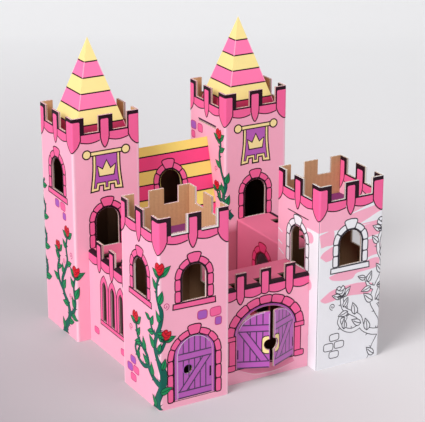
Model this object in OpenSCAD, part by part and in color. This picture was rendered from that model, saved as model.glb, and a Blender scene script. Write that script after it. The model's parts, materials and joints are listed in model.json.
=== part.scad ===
// Toy castle of folded, printed corrugated board: four square towers, two spires, ramparts and a palace.
// Millimetres. The origin is on the ground in the middle of the four towers, front towards -Y, +Z up.

/* [Board] */
// Thickness of the corrugated board
board_t = 3; // [2:0.5:4]
// Outside radius of a creased corner
crease_r = 2.5; // [1:0.5:4]
// Gap left round a tab, a floor or a cut-out leaf
play = 0.3; // [0.2:0.1:0.6]

/* [Towers] */
// Width of each square tower
tower_w = 100; // [92:1:108]
// Distance between tower centres, left to right
pitch_x = 234; // [228:1:250]
// Distance between tower centres, front to back
pitch_y = 240; // [230:1:260]
// Height of the front towers
front_h = 258; // [250:1:280]
// Height of the back towers
back_h = 320; // [300:1:340]
// Depth of the notches in a tower's rim
notch_depth = 22; // [16:1:28]
// Width of the merlon on each side of a tower's corner
corner_merlon_w = 18; // [14:1:22]
// Width of the merlon in the middle of a tower's face
middle_merlon_w = 21; // [15:1:27]

/* [Windows and doorways] */
// Width of an arched window
window_w = 34; // [26:1:42]
// Height of an arched window
window_h = 48; // [40:1:56]
// Distance from a tower's top down to its window
window_drop = 67; // [66:1:80]
// Width of an arched doorway onto a rampart
doorway_w = 34; // [26:1:42]
// Height of an arched doorway above its rampart's deck
doorway_h = 55; // [44:1:57]

/* [Tower floors] */
// Distance from a tower's top down to its floor
floor_drop = 53; // [44:1:54]
// Height of the flaps folded down from a floor
flap_h = 12; // [8:1:13]
// Part of a floor's edge, next to each corner, that has no flap
flap_relief = 6; // [4:1:12]
// Length of the tab that locks a floor into the wall
lock_l = 48; // [30:1:60]

/* [Ramparts] */
// Width of a rampart over its two walls
rampart_w = 60; // [54:1:66]
// Height of a rampart's deck
deck_z = 134; // [128:1:136]
// Width of a rampart's merlon
merlon_w = 16; // [12:1:20]
// Height of a rampart's merlon above the deck
merlon_h = 20; // [14:1:26]
// Distance between the middles of two merlons
merlon_pitch = 37; // [30:1:42]
// Width of an arrow slit
slit_w = 9; // [6:0.5:12]
// Height of an arrow slit
slit_h = 56; // [40:1:60]
// Height of an arrow slit's foot above the ground
slit_sill = 44; // [30:1:50]
// Distance between the middles of two arrow slits
slit_pitch = 24.5; // [20:0.5:30]
// Width of the arched opening towards the courtyard
yard_arch_w = 34; // [26:1:44]
// Height of the foot of that opening above the ground
yard_arch_sill = 10; // [5:1:20]
// Height of the top of that opening above the ground
yard_arch_top = 105; // [90:1:115]

/* [Wall tabs] */
// Height of the tabs that join a wall to a tower
tab_h = 40; // [20:1:50]
// Height of a tab's foot above the ground
tab_z = 45; // [30:1:55]
// How far a tab reaches into a tower, past its wall
tab_reach = 8; // [4:1:12]

/* [Gate] */
// Width of the gate
gate_w = 87; // [70:1:96]
// Height of the gate's foot above the ground
gate_sill = 21; // [12:1:28]
// Height at which the gate's arch springs
gate_spring = 66; // [55:1:70]
// Rise of the gate's arch
gate_rise = 35; // [25:1:42]
// How far each leaf stands open, in degrees
gate_ajar = 23.5; // [0:0.5:24]
// Diameter of the finger hole between the leaves
gate_hole_d = 15.5; // [10:0.5:18]
// Height of that finger hole above the ground
gate_hole_z = 54; // [44:1:58]

/* [Tower door] */
// Width of the door in the front left tower
door_w = 51; // [40:1:58]
// Height of the door's foot above the ground
door_sill = 10; // [6:1:16]
// Height of the top of the door's arch above the ground
door_top = 95; // [85:1:105]
// Diameter of the door's finger hole
door_hole_d = 13; // [9:0.5:15]
// Distance from the door's free edge to the middle of its finger hole
door_hole_x = 16; // [12:0.5:20]
// Height of the door's finger hole above the ground
door_hole_z = 49.5; // [40:0.5:60]

/* [Palace] */
// Height of the roof's ridge
ridge_z = 247; // [236:1:260]
// Width of the arched opening in the roof
dormer_w = 32; // [24:1:40]
// Height of the foot of that opening above the ground
dormer_sill = 150; // [145:1:160]
// Height of the top of that opening above the ground
dormer_top = 211; // [200:1:218]

/* [Spires] */
// Gap between a spire's foot and the tower's walls
spire_gap = 1; // [0.5:0.5:4]
// Height of a spire above its floor
spire_h = 148; // [130:1:170]

/* [Hidden] */

$fn = 64;
// Overrun of a cut past the board that it goes through
over = board_t / 3;
// Faces of a tower, as quarter turns from the front
FRONT = 0;
RIGHT = 1;
BACK = 2;
LEFT = 3;
// Straight steps along the arch of the gate
ARCH_STEPS = 40;
notch_w = (tower_w - 2 * corner_merlon_w - middle_merlon_w) / 2;
// Middle of a rampart's wall, from the middle of the rampart
wall_mid = (rampart_w - board_t) / 2;
side_span = pitch_y - tower_w - 2 * play;
front_span = pitch_x - tower_w - 2 * play;
floor_w = tower_w - 2 * board_t - 2 * play;
spire_w = tower_w - 2 * board_t - 2 * spire_gap;

print_pink = [0.98, 0.70, 0.80];
print_white = [0.94, 0.94, 0.96];
print_purple = [0.67, 0.31, 0.73];
print_roof = [0.92, 0.80, 0.40];

// Outlines

module creased_square() {
    square([tower_w, tower_w - 2 * crease_r], center = true);
    square([tower_w - 2 * crease_r, tower_w], center = true);
    for (x = [-1, 1], y = [-1, 1])
        translate([x, y] * (tower_w / 2 - crease_r)) circle(crease_r);
}

module arch(w, foot, top) {
    spring = top - w / 2;
    translate([-w / 2, foot]) square([w, spring - foot]);
    translate([0, spring]) circle(d = w);
}

// Slit with a pointed top, whose two sides are arcs about the opposite springing point
module lancet(w, foot, h) {
    point_h = w * sin(60);
    spring = foot + h - point_h;
    translate([-w / 2, foot]) square([w, spring - foot]);
    intersection() {
        translate([-w / 2, spring]) circle(w);
        translate([w / 2, spring]) circle(w);
    }
}

// The gate's outline, drawn in by a gap all round
module gate_outline(gap) {
    half = gate_w / 2 - gap;
    curve = [for (i = [0:ARCH_STEPS]) let (a = 180 * i / ARCH_STEPS)
             [half * cos(a), gate_spring + (gate_rise - gap) * sin(a)]];
    polygon(concat([[-half, gate_sill + gap], [half, gate_sill + gap]], curve));
}

// Towers

// Cuts an outline through one face of a tower
module cut_face(face)
    rotate(90 * face) translate([0, over + board_t - tower_w / 2, 0])
        rotate([90, 0, 0]) linear_extrude(board_t + 2 * over) children();

module rim_notches(h)
    for (turn = [0, 90], side = [-1, 1])
        rotate(turn) translate([side * (middle_merlon_w + notch_w) / 2, 0, h])
            cube([notch_w, tower_w + 2 * over, 2 * notch_depth], center = true);

// joins are the faces that walls plug into, and lock is the face that holds the floor's tab
module tower(h, windows, doorways, joins, lock) {
    difference() {
        linear_extrude(h) difference() {
            creased_square();
            square(tower_w - 2 * board_t, center = true);
        }
        rim_notches(h);
        for (face = windows)
            cut_face(face) arch(window_w, h - window_drop - window_h, h - window_drop);
        for (face = doorways)
            cut_face(face) arch(doorway_w, deck_z, deck_z + doorway_h);
        for (face = joins, side = [-1, 1])
            cut_face(face) translate([side * wall_mid, tab_z + tab_h / 2])
                square([board_t + 2 * play, tab_h + 2 * play], center = true);
        cut_face(lock) translate([0, h - floor_drop - board_t / 2])
            square([lock_l + 2 * play, board_t + 2 * play], center = true);
    }
}

// A panel with three flaps folded down and one tab through the wall
module tower_floor(h, lock) {
    flap_w = floor_w - 2 * flap_relief;
    translate([0, 0, h - floor_drop]) rotate(90 * lock) {
        translate([0, 0, -board_t / 2]) cube([floor_w, floor_w, board_t], center = true);
        for (turn = [90, 180, 270])
            rotate(turn) translate([-flap_w / 2, -floor_w / 2, -flap_h])
                cube([flap_w, board_t, flap_h]);
        translate([-lock_l / 2, -tower_w / 2, -board_t])
            cube([lock_l, tower_w / 2, board_t]);
    }
}

// Hollow pyramid that stands on the floor inside a tower's rim
module spire() {
    wall_run = board_t * sqrt(1 + pow(spire_w / 2 / spire_h, 2));
    hollow_drop = wall_run * 2 * spire_h / spire_w;
    translate([0, 0, back_h - floor_drop]) rotate(45) difference() {
        cylinder(h = spire_h, d1 = spire_w * sqrt(2), d2 = 0, $fn = 4);
        translate([0, 0, -hollow_drop])
            cylinder(h = spire_h, d1 = spire_w * sqrt(2), d2 = 0, $fn = 4);
    }
}

module front_left() translate([-pitch_x / 2, -pitch_y / 2, 0]) children();
module front_right() translate([pitch_x / 2, -pitch_y / 2, 0]) children();
module back_left() translate([-pitch_x / 2, pitch_y / 2, 0]) children();
module back_right() translate([pitch_x / 2, pitch_y / 2, 0]) children();

module tower_front_left()
    color(print_pink) front_left() difference() {
        tower(front_h, [FRONT, LEFT], [RIGHT, BACK], [RIGHT, BACK], RIGHT);
        cut_face(FRONT) arch(door_w, door_sill, door_top);
    }

module tower_front_right()
    color(print_white) front_right()
        tower(front_h, [FRONT, RIGHT], [LEFT, BACK], [LEFT, BACK], LEFT);

module tower_back_left()
    color(print_pink) back_left()
        tower(back_h, [LEFT, BACK], [FRONT], [FRONT, RIGHT], RIGHT);

module tower_back_right()
    color(print_pink) back_right()
        tower(back_h, [RIGHT, BACK], [FRONT], [FRONT, LEFT], LEFT);

module floor_front_left() color(print_purple) front_left() tower_floor(front_h, RIGHT);
module floor_front_right() color(print_purple) front_right() tower_floor(front_h, LEFT);
module floor_back_left() color(print_purple) back_left() tower_floor(back_h, RIGHT);
module floor_back_right() color(print_purple) back_right() tower_floor(back_h, LEFT);

module spire_left() color(print_roof) back_left() spire();
module spire_right() color(print_roof) back_right() spire();

// Ramparts, each along X with its outer wall towards -Y

// Cuts an outline through the outer wall, at side -1, or the inner wall, at side 1
module cut_wall(side)
    translate([0, side * wall_mid + board_t / 2 + over, 0])
        rotate([90, 0, 0]) linear_extrude(board_t + 2 * over) children();

module along_span(span)
    rotate([90, 0, 90]) translate([0, 0, -span / 2]) linear_extrude(span) children();

// Tabs at both ends of the two walls
module end_tabs(span) {
    tab_l = tab_reach + 2 * board_t + play;
    for (end = [-1, 1], side = [-1, 1])
        translate([end * (span / 2 - board_t + tab_l / 2), side * wall_mid, tab_z + tab_h / 2])
            cube([tab_l, board_t, tab_h], center = true);
}

// Two walls and a deck, with the merlons cut out of the deck and left standing
module rampart(span) {
    outer_y = -rampart_w / 2;
    difference() {
        along_span(span) difference() {
            union() {
                translate([outer_y, 0]) square([rampart_w, deck_z - crease_r]);
                translate([outer_y + crease_r, 0]) square([rampart_w - 2 * crease_r, deck_z]);
                for (side = [-1, 1])
                    translate([side * (rampart_w / 2 - crease_r), deck_z - crease_r]) circle(crease_r);
            }
            translate([outer_y + board_t, -over])
                square([rampart_w - 2 * board_t, deck_z - board_t + over]);
        }
        for (i = [-1:1])
            translate([i * merlon_pitch - merlon_w / 2, outer_y + board_t, deck_z - board_t - over])
                cube([merlon_w, merlon_h - board_t, board_t + 2 * over]);
    }
    for (i = [-1:1])
        translate([i * merlon_pitch - merlon_w / 2, outer_y, deck_z - board_t])
            cube([merlon_w, board_t, merlon_h + board_t]);
    end_tabs(span);
}

module side_rampart()
    difference() {
        rampart(side_span);
        for (i = [-1:1])
            cut_wall(-1) translate([i * slit_pitch, 0]) lancet(slit_w, slit_sill, slit_h);
        cut_wall(1) arch(yard_arch_w, yard_arch_sill, yard_arch_top);
    }

module rampart_left() color(print_pink) translate([-pitch_x / 2, 0, 0]) rotate(-90) side_rampart();
module rampart_right() color(print_pink) translate([pitch_x / 2, 0, 0]) rotate(90) side_rampart();

module gatehouse()
    color(print_pink) translate([0, -pitch_y / 2, 0]) difference() {
        rampart(front_span);
        for (side = [-1, 1]) cut_wall(side) gate_outline(0);
    }

// Leaves, each cut from a wall and folded out about its outer face

// side is -1 for the left leaf and 1 for the right leaf
module gate_leaf(side)
    translate([side * gate_w / 2, -(pitch_y + rampart_w) / 2, 0])
        rotate(side * gate_ajar) translate([-side * gate_w / 2, board_t, 0])
            rotate([90, 0, 0]) linear_extrude(board_t) difference() {
                intersection() {
                    gate_outline(play);
                    translate([side * (gate_w + play) / 4, gate_spring])
                        square([(gate_w - play) / 2, 2 * gate_spring], center = true);
                }
                translate([0, gate_hole_z]) circle(d = gate_hole_d);
            }

module gate_leaf_left() color(print_purple) gate_leaf(-1);
module gate_leaf_right() color(print_purple) gate_leaf(1);

module tower_door()
    color(print_purple) front_left() translate([0, board_t - tower_w / 2, 0])
        rotate([90, 0, 0]) linear_extrude(board_t) difference() {
            arch(door_w - 2 * play, door_sill + play, door_top - play);
            translate([door_hole_x - door_w / 2, door_hole_z]) circle(d = door_hole_d);
        }

// Palace: front wall, two steep roof slopes and back wall, folded from one sheet

module palace() {
    half = rampart_w / 2;
    rise = ridge_z - deck_z;
    slope_l = sqrt(pow(half, 2) + pow(rise, 2));
    inner_half = half - board_t;
    inner_eave = deck_z + board_t * (rise - slope_l) / half;
    inner_ridge = ridge_z - board_t * slope_l / half;
    color(print_roof) translate([0, pitch_y / 2, 0]) {
        difference() {
            along_span(front_span) difference() {
                polygon([[-half, 0], [-half, deck_z], [0, ridge_z], [half, deck_z], [half, 0]]);
                polygon([[-inner_half, -over], [-inner_half, inner_eave], [0, inner_ridge],
                         [inner_half, inner_eave], [inner_half, -over]]);
            }
            rotate([90, 0, 0]) linear_extrude(half + over) arch(dormer_w, dormer_sill, dormer_top);
        }
        end_tabs(front_span);
    }
}

tower_front_left();
tower_front_right();
tower_back_left();
tower_back_right();
floor_front_left();
floor_front_right();
floor_back_left();
floor_back_right();
spire_left();
spire_right();
rampart_left();
rampart_right();
gatehouse();
gate_leaf_left();
gate_leaf_right();
tower_door();
palace();
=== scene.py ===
# %% [markdown]
# # A toy castle of printed board
# The real castle comes as flat, die-cut sheets of corrugated board. A child folds the sheets into four
# square towers, slots walls between them and stands two striped spires inside the back towers. The
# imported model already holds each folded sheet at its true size. The sheets could be modelled again
# here, but then print and knife might disagree. So they stay as they are, and this lesson adds what the
# printer and the cutter left on them: ink, paper, brown inner liner and fluted cut edges.

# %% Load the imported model
import json
import math
import random

import bmesh
import bpy
from mathutils import Matrix, Vector


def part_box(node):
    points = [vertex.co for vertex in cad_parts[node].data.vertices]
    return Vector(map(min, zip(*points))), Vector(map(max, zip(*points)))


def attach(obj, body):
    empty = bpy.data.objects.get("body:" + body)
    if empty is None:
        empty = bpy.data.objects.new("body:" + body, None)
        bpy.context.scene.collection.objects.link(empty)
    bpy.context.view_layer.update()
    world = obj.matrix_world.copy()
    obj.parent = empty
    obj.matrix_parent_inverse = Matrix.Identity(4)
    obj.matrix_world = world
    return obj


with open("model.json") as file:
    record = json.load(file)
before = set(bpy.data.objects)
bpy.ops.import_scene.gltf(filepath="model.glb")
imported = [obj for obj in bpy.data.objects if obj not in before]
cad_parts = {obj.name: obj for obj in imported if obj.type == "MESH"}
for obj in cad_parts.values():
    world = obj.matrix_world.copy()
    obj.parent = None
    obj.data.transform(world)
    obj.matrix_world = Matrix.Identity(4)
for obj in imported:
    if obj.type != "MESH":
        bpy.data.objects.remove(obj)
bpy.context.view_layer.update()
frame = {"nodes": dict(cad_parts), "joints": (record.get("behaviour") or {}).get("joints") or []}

# %% [markdown]
# ## Sizes
# The artwork of such sheets is drawn in millimetres, and so is this one. The sizes of whole pieces
# could be typed in, but they are measured on the model, so that rims and creases of the print lie where
# the sheets have them. Only the cut-outs are repeated by name, because the print has to stop at the
# knife's cut.

# %% Measure the pieces
MM = 0.001


def size(node, axis):
    low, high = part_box(node)
    return (high[axis] - low[axis]) / MM


def middle(node):
    low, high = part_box(node)
    return (low + high) / 2 / MM


def top_of(node):
    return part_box(node)[1].z / MM


def ground(node):
    """The point on the ground under a piece's middle."""
    centre = middle(node)
    return Vector((centre.x, centre.y, 0))


BOARD = 3.0
CREASE = 2.5
TOWER_W = size("tower_front_left", 0)
FRONT_H = size("tower_front_left", 2)
BACK_H = size("tower_back_left", 2)
RAMPART_HALF = size("gatehouse", 1) / 2
MERLON_H = 20.0
DECK = size("gatehouse", 2) - MERLON_H
ARCH_HALF = 17.0
print(f"towers {TOWER_W:.0f} wide, {FRONT_H:.0f} and {BACK_H:.0f} high, decks at {DECK:.0f}")

# %% [markdown]
# ## Inks
# The sheets are printed in flat colours. A picture of the print could be wrapped round them, but it
# would blur close up. Flat colours stay sharp, so each has a name here, and so have pen, bare paper and
# worn print. They are written as screen colours and turned into the linear values that Blender's
# shaders use.

# %% Name the inks
INKS = {
    "wall_pink": (250, 176, 200),
    "stone_pink": (246, 101, 156),
    "line": (34, 6, 22),
    "brick_line": (196, 62, 122),
    "purple": (184, 80, 182),
    "plank_line": (58, 4, 76),
    "lilac": (168, 92, 186),
    "pale_yellow": (240, 219, 146),
    "mustard": (252, 226, 120),
    "roof_pink": (250, 76, 136),
    "spire_pink": (247, 118, 168),
    "spire_foot": (200, 56, 100),
    "gold": (255, 230, 162),
    "red": (216, 26, 46),
    "deep_red": (128, 8, 30),
    "stem": (14, 96, 82),
    "leaf": (24, 140, 84),
    "leaf_line": (12, 44, 44),
    "shaded_deck_pink": (211, 105, 135),
    "yard_stone": (214, 54, 106),
    "shaded_floor_purple": (118, 46, 102),
    "white": (240, 240, 245),
    "pen": (66, 64, 72),
    "pencil": (134, 132, 140),
    "cut_white": (214, 190, 220),
    "notch_white": (236, 229, 224),
    "leaf_shadow_pink": (238, 140, 172),
    "scuff": (253, 206, 220),
    "worn_pink": (251, 168, 198),
}


def shade(colour, amount):
    """The same screen colour, lighter or darker."""
    return tuple(min(c * amount, 255) for c in colour)


def linear(colour):
    values = [c / 255 for c in colour]
    return tuple(v / 12.92 if v <= 0.04045 else ((v + 0.055) / 1.055) ** 2.4 for v in values) + (1.0,)


print(len(INKS), "inks, the first one linear:", [round(v, 3) for v in linear(INKS["wall_pink"])])

# %% [markdown]
# ## Shader maths as Python
# Ink, kraft and cut edges all vary over a sheet, and a node tree is the formula for that, drawn as
# boxes. The boxes could be wired one by one, but a formula reads better as one. So a small class wraps
# a socket, and each operator adds the Math node that does the sum. The forms with an r in front take
# over when a plain number comes first, as in 1 - mask.

# %% Wrap a socket
class Wire:
    """An output socket whose operators add Math nodes to its material."""

    def __init__(self, finish, socket):
        self.finish = finish
        self.socket = socket

    def out(self, name):
        """Another output of the same node."""
        return Wire(self.finish, self.socket.node.outputs[name])

    def math(self, operation, *values):
        return self.finish.add("ShaderNodeMath", {"operation": operation}, dict(enumerate(values)))

    def __add__(self, other):
        return self.math("ADD", self, other)

    def __radd__(self, other):
        return self.math("ADD", other, self)

    def __sub__(self, other):
        return self.math("SUBTRACT", self, other)

    def __rsub__(self, other):
        return self.math("SUBTRACT", other, self)

    def __mul__(self, other):
        return self.math("MULTIPLY", self, other)

    def __rmul__(self, other):
        return self.math("MULTIPLY", other, self)

    def __truediv__(self, other):
        return self.math("DIVIDE", self, other)

    def __rtruediv__(self, other):
        return self.math("DIVIDE", other, self)

    def __gt__(self, other):
        return self.math("GREATER_THAN", self, other)

    def __lt__(self, other):
        return self.math("LESS_THAN", self, other)

    def __abs__(self):
        return self.math("ABSOLUTE", self)

    def least(self, other):
        return self.math("MINIMUM", self, other)

    def most(self, other):
        return self.math("MAXIMUM", self, other)

    def wave(self, pitch):
        angle = self * (math.tau / pitch)
        return angle.math("SINE", angle)


print("sockets can be added, multiplied and compared")

# %% [markdown]
# A finish is built from few kinds of step: make a node, plug a number or a wire into a socket, mix two
# colours, ask for noise. Each could be three lines of Blender's own calls, many times over, so a second
# class holds them. `add` makes any node: its settings come first, because they can change which sockets
# there are. Colours go through a Mix node, since a Math node would turn them grey.

# %% Wrap a material
class Finish:
    """A material in the making."""

    def __init__(self, name):
        self.material = bpy.data.materials.new(name)
        self.material.use_nodes = True
        self.tree = self.material.node_tree
        self.shader = self.tree.nodes["Principled BSDF"]

    def add(self, kind, settings, sockets, output=0):
        node = self.tree.nodes.new(kind)
        for name, value in settings.items():
            setattr(node, name, value)
        for name, value in sockets.items():
            self.plug(node.inputs[name], value)
        return Wire(self, node.outputs[output])

    def plug(self, socket, value):
        if isinstance(value, Wire):
            self.tree.links.new(value.socket, socket)
        else:
            socket.default_value = value

    def set(self, **sockets):
        for name, value in sockets.items():
            self.plug(self.shader.inputs[name.replace("_", " ")], value)

    def mix(self, factor, first, second):
        sockets = {0: factor, 6: first, 7: second}
        return self.add("ShaderNodeMix", {"data_type": "RGBA"}, sockets, output=2)

    def noise(self, point, scale, detail=3.0):
        return self.add("ShaderNodeTexNoise", {}, {"Vector": point, "Scale": scale, "Detail": detail})

    def ramp(self, value, start, stop, most=1.0):
        """Nothing before start, growing to most at stop."""
        sockets = {"Value": value, "From Min": start, "From Max": stop, "To Max": most}
        return self.add("ShaderNodeMapRange", {}, sockets)


print("materials can be built")

# %% [markdown]
# ## Ink on paper
# Offset ink on a board liner is matt, a little mottled, and lies in the faint washboard that the flutes
# leave. Those waves could be modelled, but they are a tenth of a millimetre deep, so a bump does. The
# flutes run up the walls, so the washboard follows the distance along a wall, x + y, and nothing has to
# be unwrapped. The doors are varnished: their inks get a thin clear coat.

# %% Make the paper and ink finishes
FLUTE_PITCH = 6.4
FIBRE_SCALE = 900.0
FIBRE_DETAIL = 4.0
FIBRE_RELIEF = 0.35
FLUTE_RELIEF = 0.18
RELIEF = 0.00012
BUMP = 0.35
MOTTLE_SCALE = 55.0
MOTTLE_SHARE = 0.55
DULL, BRIGHT = 0.965, 1.02
INK_ROUGHNESS, INK_SPREAD = 0.5, 0.16
SHEEN = 0.22
GLOSS, COAT, COAT_ROUGHNESS = 0.5, 0.9, 0.3
VARNISHED = ("purple", "plank_line")


def paper(finish):
    """Returns the point, its x, y and z in millimetres, and the distance along a wall."""
    point = finish.add("ShaderNodeTexCoord", {}, {}, output="Object")
    xyz = finish.add("ShaderNodeSeparateXYZ", {}, {0: point})
    x, y, z = (xyz.out(axis) * (1 / MM) for axis in "XYZ")
    return point, (x, y, z), x + y


def press(finish, point, along):
    """Bumps the surface with fibres and the washboard of the flutes."""
    fibres = finish.noise(point, FIBRE_SCALE, FIBRE_DETAIL) * FIBRE_RELIEF
    height = fibres + along.wave(FLUTE_PITCH) * FLUTE_RELIEF
    sockets = {"Strength": BUMP, "Distance": RELIEF, "Height": height}
    finish.set(Normal=finish.add("ShaderNodeBump", {}, sockets))


def varnish(finish):
    finish.set(Specular_IOR_Level=GLOSS, Coat_Weight=COAT, Coat_Roughness=COAT_ROUGHNESS)


def printed(finish, point, colour):
    """Ink of one colour, slightly mottled by the paper under it."""
    coarse = finish.noise(point, MOTTLE_SCALE) * MOTTLE_SHARE
    mottle = coarse + finish.noise(point, FIBRE_SCALE) * (1 - MOTTLE_SHARE)
    return finish.mix(mottle, linear(shade(colour, DULL)), linear(shade(colour, BRIGHT)))


ink_cache = {}


def ink(name):
    if name not in ink_cache:
        finish = Finish("ink_" + name)
        point, _, along = paper(finish)
        finish.set(Base_Color=printed(finish, point, INKS[name]), Specular_IOR_Level=SHEEN)
        finish.set(Roughness=INK_ROUGHNESS + finish.noise(point, MOTTLE_SCALE) * INK_SPREAD)
        if name in VARNISHED:
            varnish(finish)
        press(finish, point, along)
        ink_cache[name] = finish.material
    return ink_cache[name]


print("first ink:", ink("line").name)

# %% [markdown]
# ## Kraft and cut edges
# Corrugated board is two liners glued to a wavy sheet. Its inner liner is brown kraft with long fibres,
# and a cut edge shows the liners as pale lines with the wave between them; the hollows of the wave are
# painted darker, as shade. The wave could be cut into the mesh, at a great many faces, but the edge is
# only 3 mm wide, so a formula of the share of the board's depth draws it.

# %% Make kraft and cut edges
KRAFT = (214, 167, 126)
KRAFT_DARK = (184, 138, 101)
KRAFT_DEEP = (66, 38, 25)
KRAFT_SCALE, KRAFT_DETAIL = 420.0, 6.0
KRAFT_BASE, KRAFT_FIBRE, KRAFT_FLUTE = 0.15, 0.7, 0.08
CUT_PAPER = (224, 214, 202)
CUT_HOLLOW_SHADE = (150, 124, 104)
WAVE_REACH = 0.30
WAVE_WIDTH = 0.11
LINER_FROM_MIDDLE = 0.36


def cut_edge(finish, share, along):
    flute = abs(share - (0.5 + along.wave(FLUTE_PITCH) * WAVE_REACH)) < WAVE_WIDTH
    liners = abs(share - 0.5) > LINER_FROM_MIDDLE
    # The hollows of the wave are painted darker, as shade.
    return finish.mix(flute.most(liners), linear(CUT_HOLLOW_SHADE), linear(CUT_PAPER))


def kraft_side(finish, point, along):
    fibres = finish.noise(point, KRAFT_SCALE, KRAFT_DETAIL) * KRAFT_FIBRE
    streak = fibres + along.wave(FLUTE_PITCH) * KRAFT_FLUTE + KRAFT_BASE
    return finish.mix(streak, linear(KRAFT_DARK), linear(KRAFT))


print("edge waves", FLUTE_PITCH, "mm apart")

# %% [markdown]
# ## Board
# Print, cut edge and kraft could be three materials with faces picked by hand. But all three follow
# from one number, the depth below the printed side, so each kind of piece only has to say how deep a
# point lies. Two kinds of shade come with it. Kraft and edges grow dark where a sheet closes off the
# light, below a tower's floor or under a deck. And in the narrow yard red light bounces from wall to
# wall, so the print grows deeper there from the decks down.

# %% Make the board finish
LINER = 0.8
KRAFT_SKIN = 0.1
BOARD_ROUGHNESS, PRINT_SMOOTHING, BOARD_SPREAD = 0.86, 0.28, 0.1
YARD_X = middle("rampart_right").x - RAMPART_HALF
YARD_Y = -middle("gatehouse").y - RAMPART_HALF
YARD_START = DECK - 5.0
YARD_SHADE = 0.72
YARD_DEEP = (158, 22, 58)


def yard_shade(finish, place, reach):
    """How much deeper the print is inside the yard, growing over a reach below the decks."""
    x, y, z = place
    inside = (abs(x) < YARD_X + LINER) * (abs(y) < YARD_Y + LINER)
    return inside * finish.ramp(z, YARD_START, YARD_START - reach, YARD_SHADE)


def board(name, depth_of, colour_of, gloom=(0.0, 0.0, 0.0), yard=0.0, varnished=False):
    """Print, cut edge and kraft by depth.

    gloom is a height, and how much darker kraft and edges are below it.
    yard is the reach below the decks over which the print deepens inside the yard.
    """
    finish = Finish("board_" + name)
    point, place, along = paper(finish)
    depth = depth_of(*place)
    height, kraft_gloom, edge_gloom = gloom
    closed_off = place[2] < height
    kraft = finish.mix(closed_off * kraft_gloom, kraft_side(finish, point, along), linear(KRAFT_DEEP))
    edge = finish.mix(closed_off * edge_gloom, cut_edge(finish, depth / BOARD, along), linear(KRAFT_DEEP))
    outside = colour_of(finish, point, place)
    if yard:
        outside = finish.mix(yard_shade(finish, place, yard), outside, linear(YARD_DEEP))
    on_print = depth < LINER
    unprinted = finish.mix(depth > BOARD - KRAFT_SKIN, edge, kraft)
    finish.set(Base_Color=finish.mix(on_print, unprinted, outside), Specular_IOR_Level=SHEEN)
    mottle = finish.noise(point, MOTTLE_SCALE) * BOARD_SPREAD
    finish.set(Roughness=BOARD_ROUGHNESS - on_print * PRINT_SMOOTHING + mottle)
    if varnished:
        varnish(finish)
    press(finish, point, along)
    return finish.material


def plain(ink_name):
    return lambda finish, point, place: printed(finish, point, INKS[ink_name])


def dress(node, material):
    mesh = frame["nodes"][node].data
    mesh.materials.clear()
    mesh.materials.append(material)


print(f"yard {2 * YARD_X:.0f} by {2 * YARD_Y:.0f}")

# %% [markdown]
# ## Towers and their floors
# A tower is one sheet folded to a square tube, and its floor a purple panel inside the rim. The faces
# could be unwrapped one by one, but depth measured in from the square outline turns the corners by
# itself. The four creases are paler: the sum of both distances from the middle is largest there.
# The front right tower was left white, for a child to colour.

# %% Dress the towers and their floors
CREASE_PALING = 0.3
PALING_START, PALING_FULL = 2 * CREASE, 0.8 * CREASE
FRONT_GLOOM, BACK_GLOOM = 0.5, 0.93
TOWER_YARD = 14.0
TOWERS = ["tower_front_left", "tower_front_right", "tower_back_left", "tower_back_right"]


def tower_depth(node):
    centre = middle(node)
    return lambda x, y, z: TOWER_W / 2 - abs(x - centre.x).most(abs(y - centre.y))


def tower_colour(node, ink_name):
    """One ink, a little paler along the four creases."""
    centre = middle(node)

    def colour(finish, point, place):
        reach = abs(place[0] - centre.x) + abs(place[1] - centre.y)
        # Mixed a little towards white along the four creases.
        pale_mark = finish.ramp(reach, TOWER_W - PALING_START, TOWER_W - PALING_FULL) * CREASE_PALING
        return finish.mix(pale_mark, printed(finish, point, INKS[ink_name]), linear(INKS["white"]))

    return colour


def floor_depth(node):
    top = top_of(node)
    return lambda x, y, z: top - z


for name in TOWERS:
    floor = name.replace("tower", "floor")
    gloom = (top_of(floor), BACK_GLOOM if "back" in name else FRONT_GLOOM, 0.0)
    uncoloured = name == "tower_front_right"
    colour = tower_colour(name, "white" if uncoloured else "wall_pink")
    dress(name, board(name, tower_depth(name), colour, gloom, 0.0 if uncoloured else TOWER_YARD))
    # The floor is purple, painted darker as the shade inside the tower.
    dress(floor, board(floor, floor_depth(floor), plain("shaded_floor_purple")))
print("dressed", len(TOWERS), "towers with floors")

# %% [markdown]
# ## Ramparts
# A rampart is a sheet folded to outer wall, deck and inner wall, light pink outside. On the deck and
# towards the yard its pink is painted deeper, as shade. Its walls and deck could be picked as faces, but
# one number serves them all: the lesser of the depths in from a wall and down from the deck. A merlon
# stands above the deck in the wall's own plane, so there only the wall counts.

# %% Dress the ramparts
RAMPART_GLOOM = (DECK, 0.9, 0.7)
WALL_YARD = 105.0
DECK_SKIN = 0.05


def rampart_depth(node, axis):
    centre = middle(node)[axis]

    def depth(x, y, z):
        wall = RAMPART_HALF - abs((x, y)[axis] - centre)
        deck = (DECK - z) + (z > DECK + DECK_SKIN) * TOWER_W
        return wall.least(deck)

    return depth


def rampart_colour(node, axis, outward):
    centre = middle(node)[axis]

    def colour(finish, point, place):
        outer = (place[axis] - centre) * outward > RAMPART_HALF - LINER
        # Deck and yard side get a pink painted deeper, as shade.
        shaded_deck_ink = printed(finish, point, INKS["shaded_deck_pink"])
        return finish.mix(outer, shaded_deck_ink, printed(finish, point, INKS["wall_pink"]))

    return colour


for name, axis, outward in (("gatehouse", 1, -1), ("rampart_left", 0, -1), ("rampart_right", 0, 1)):
    colour = rampart_colour(name, axis, outward)
    dress(name, board(name, rampart_depth(name, axis), colour, RAMPART_GLOOM, WALL_YARD))
print("dressed the ramparts")

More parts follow.
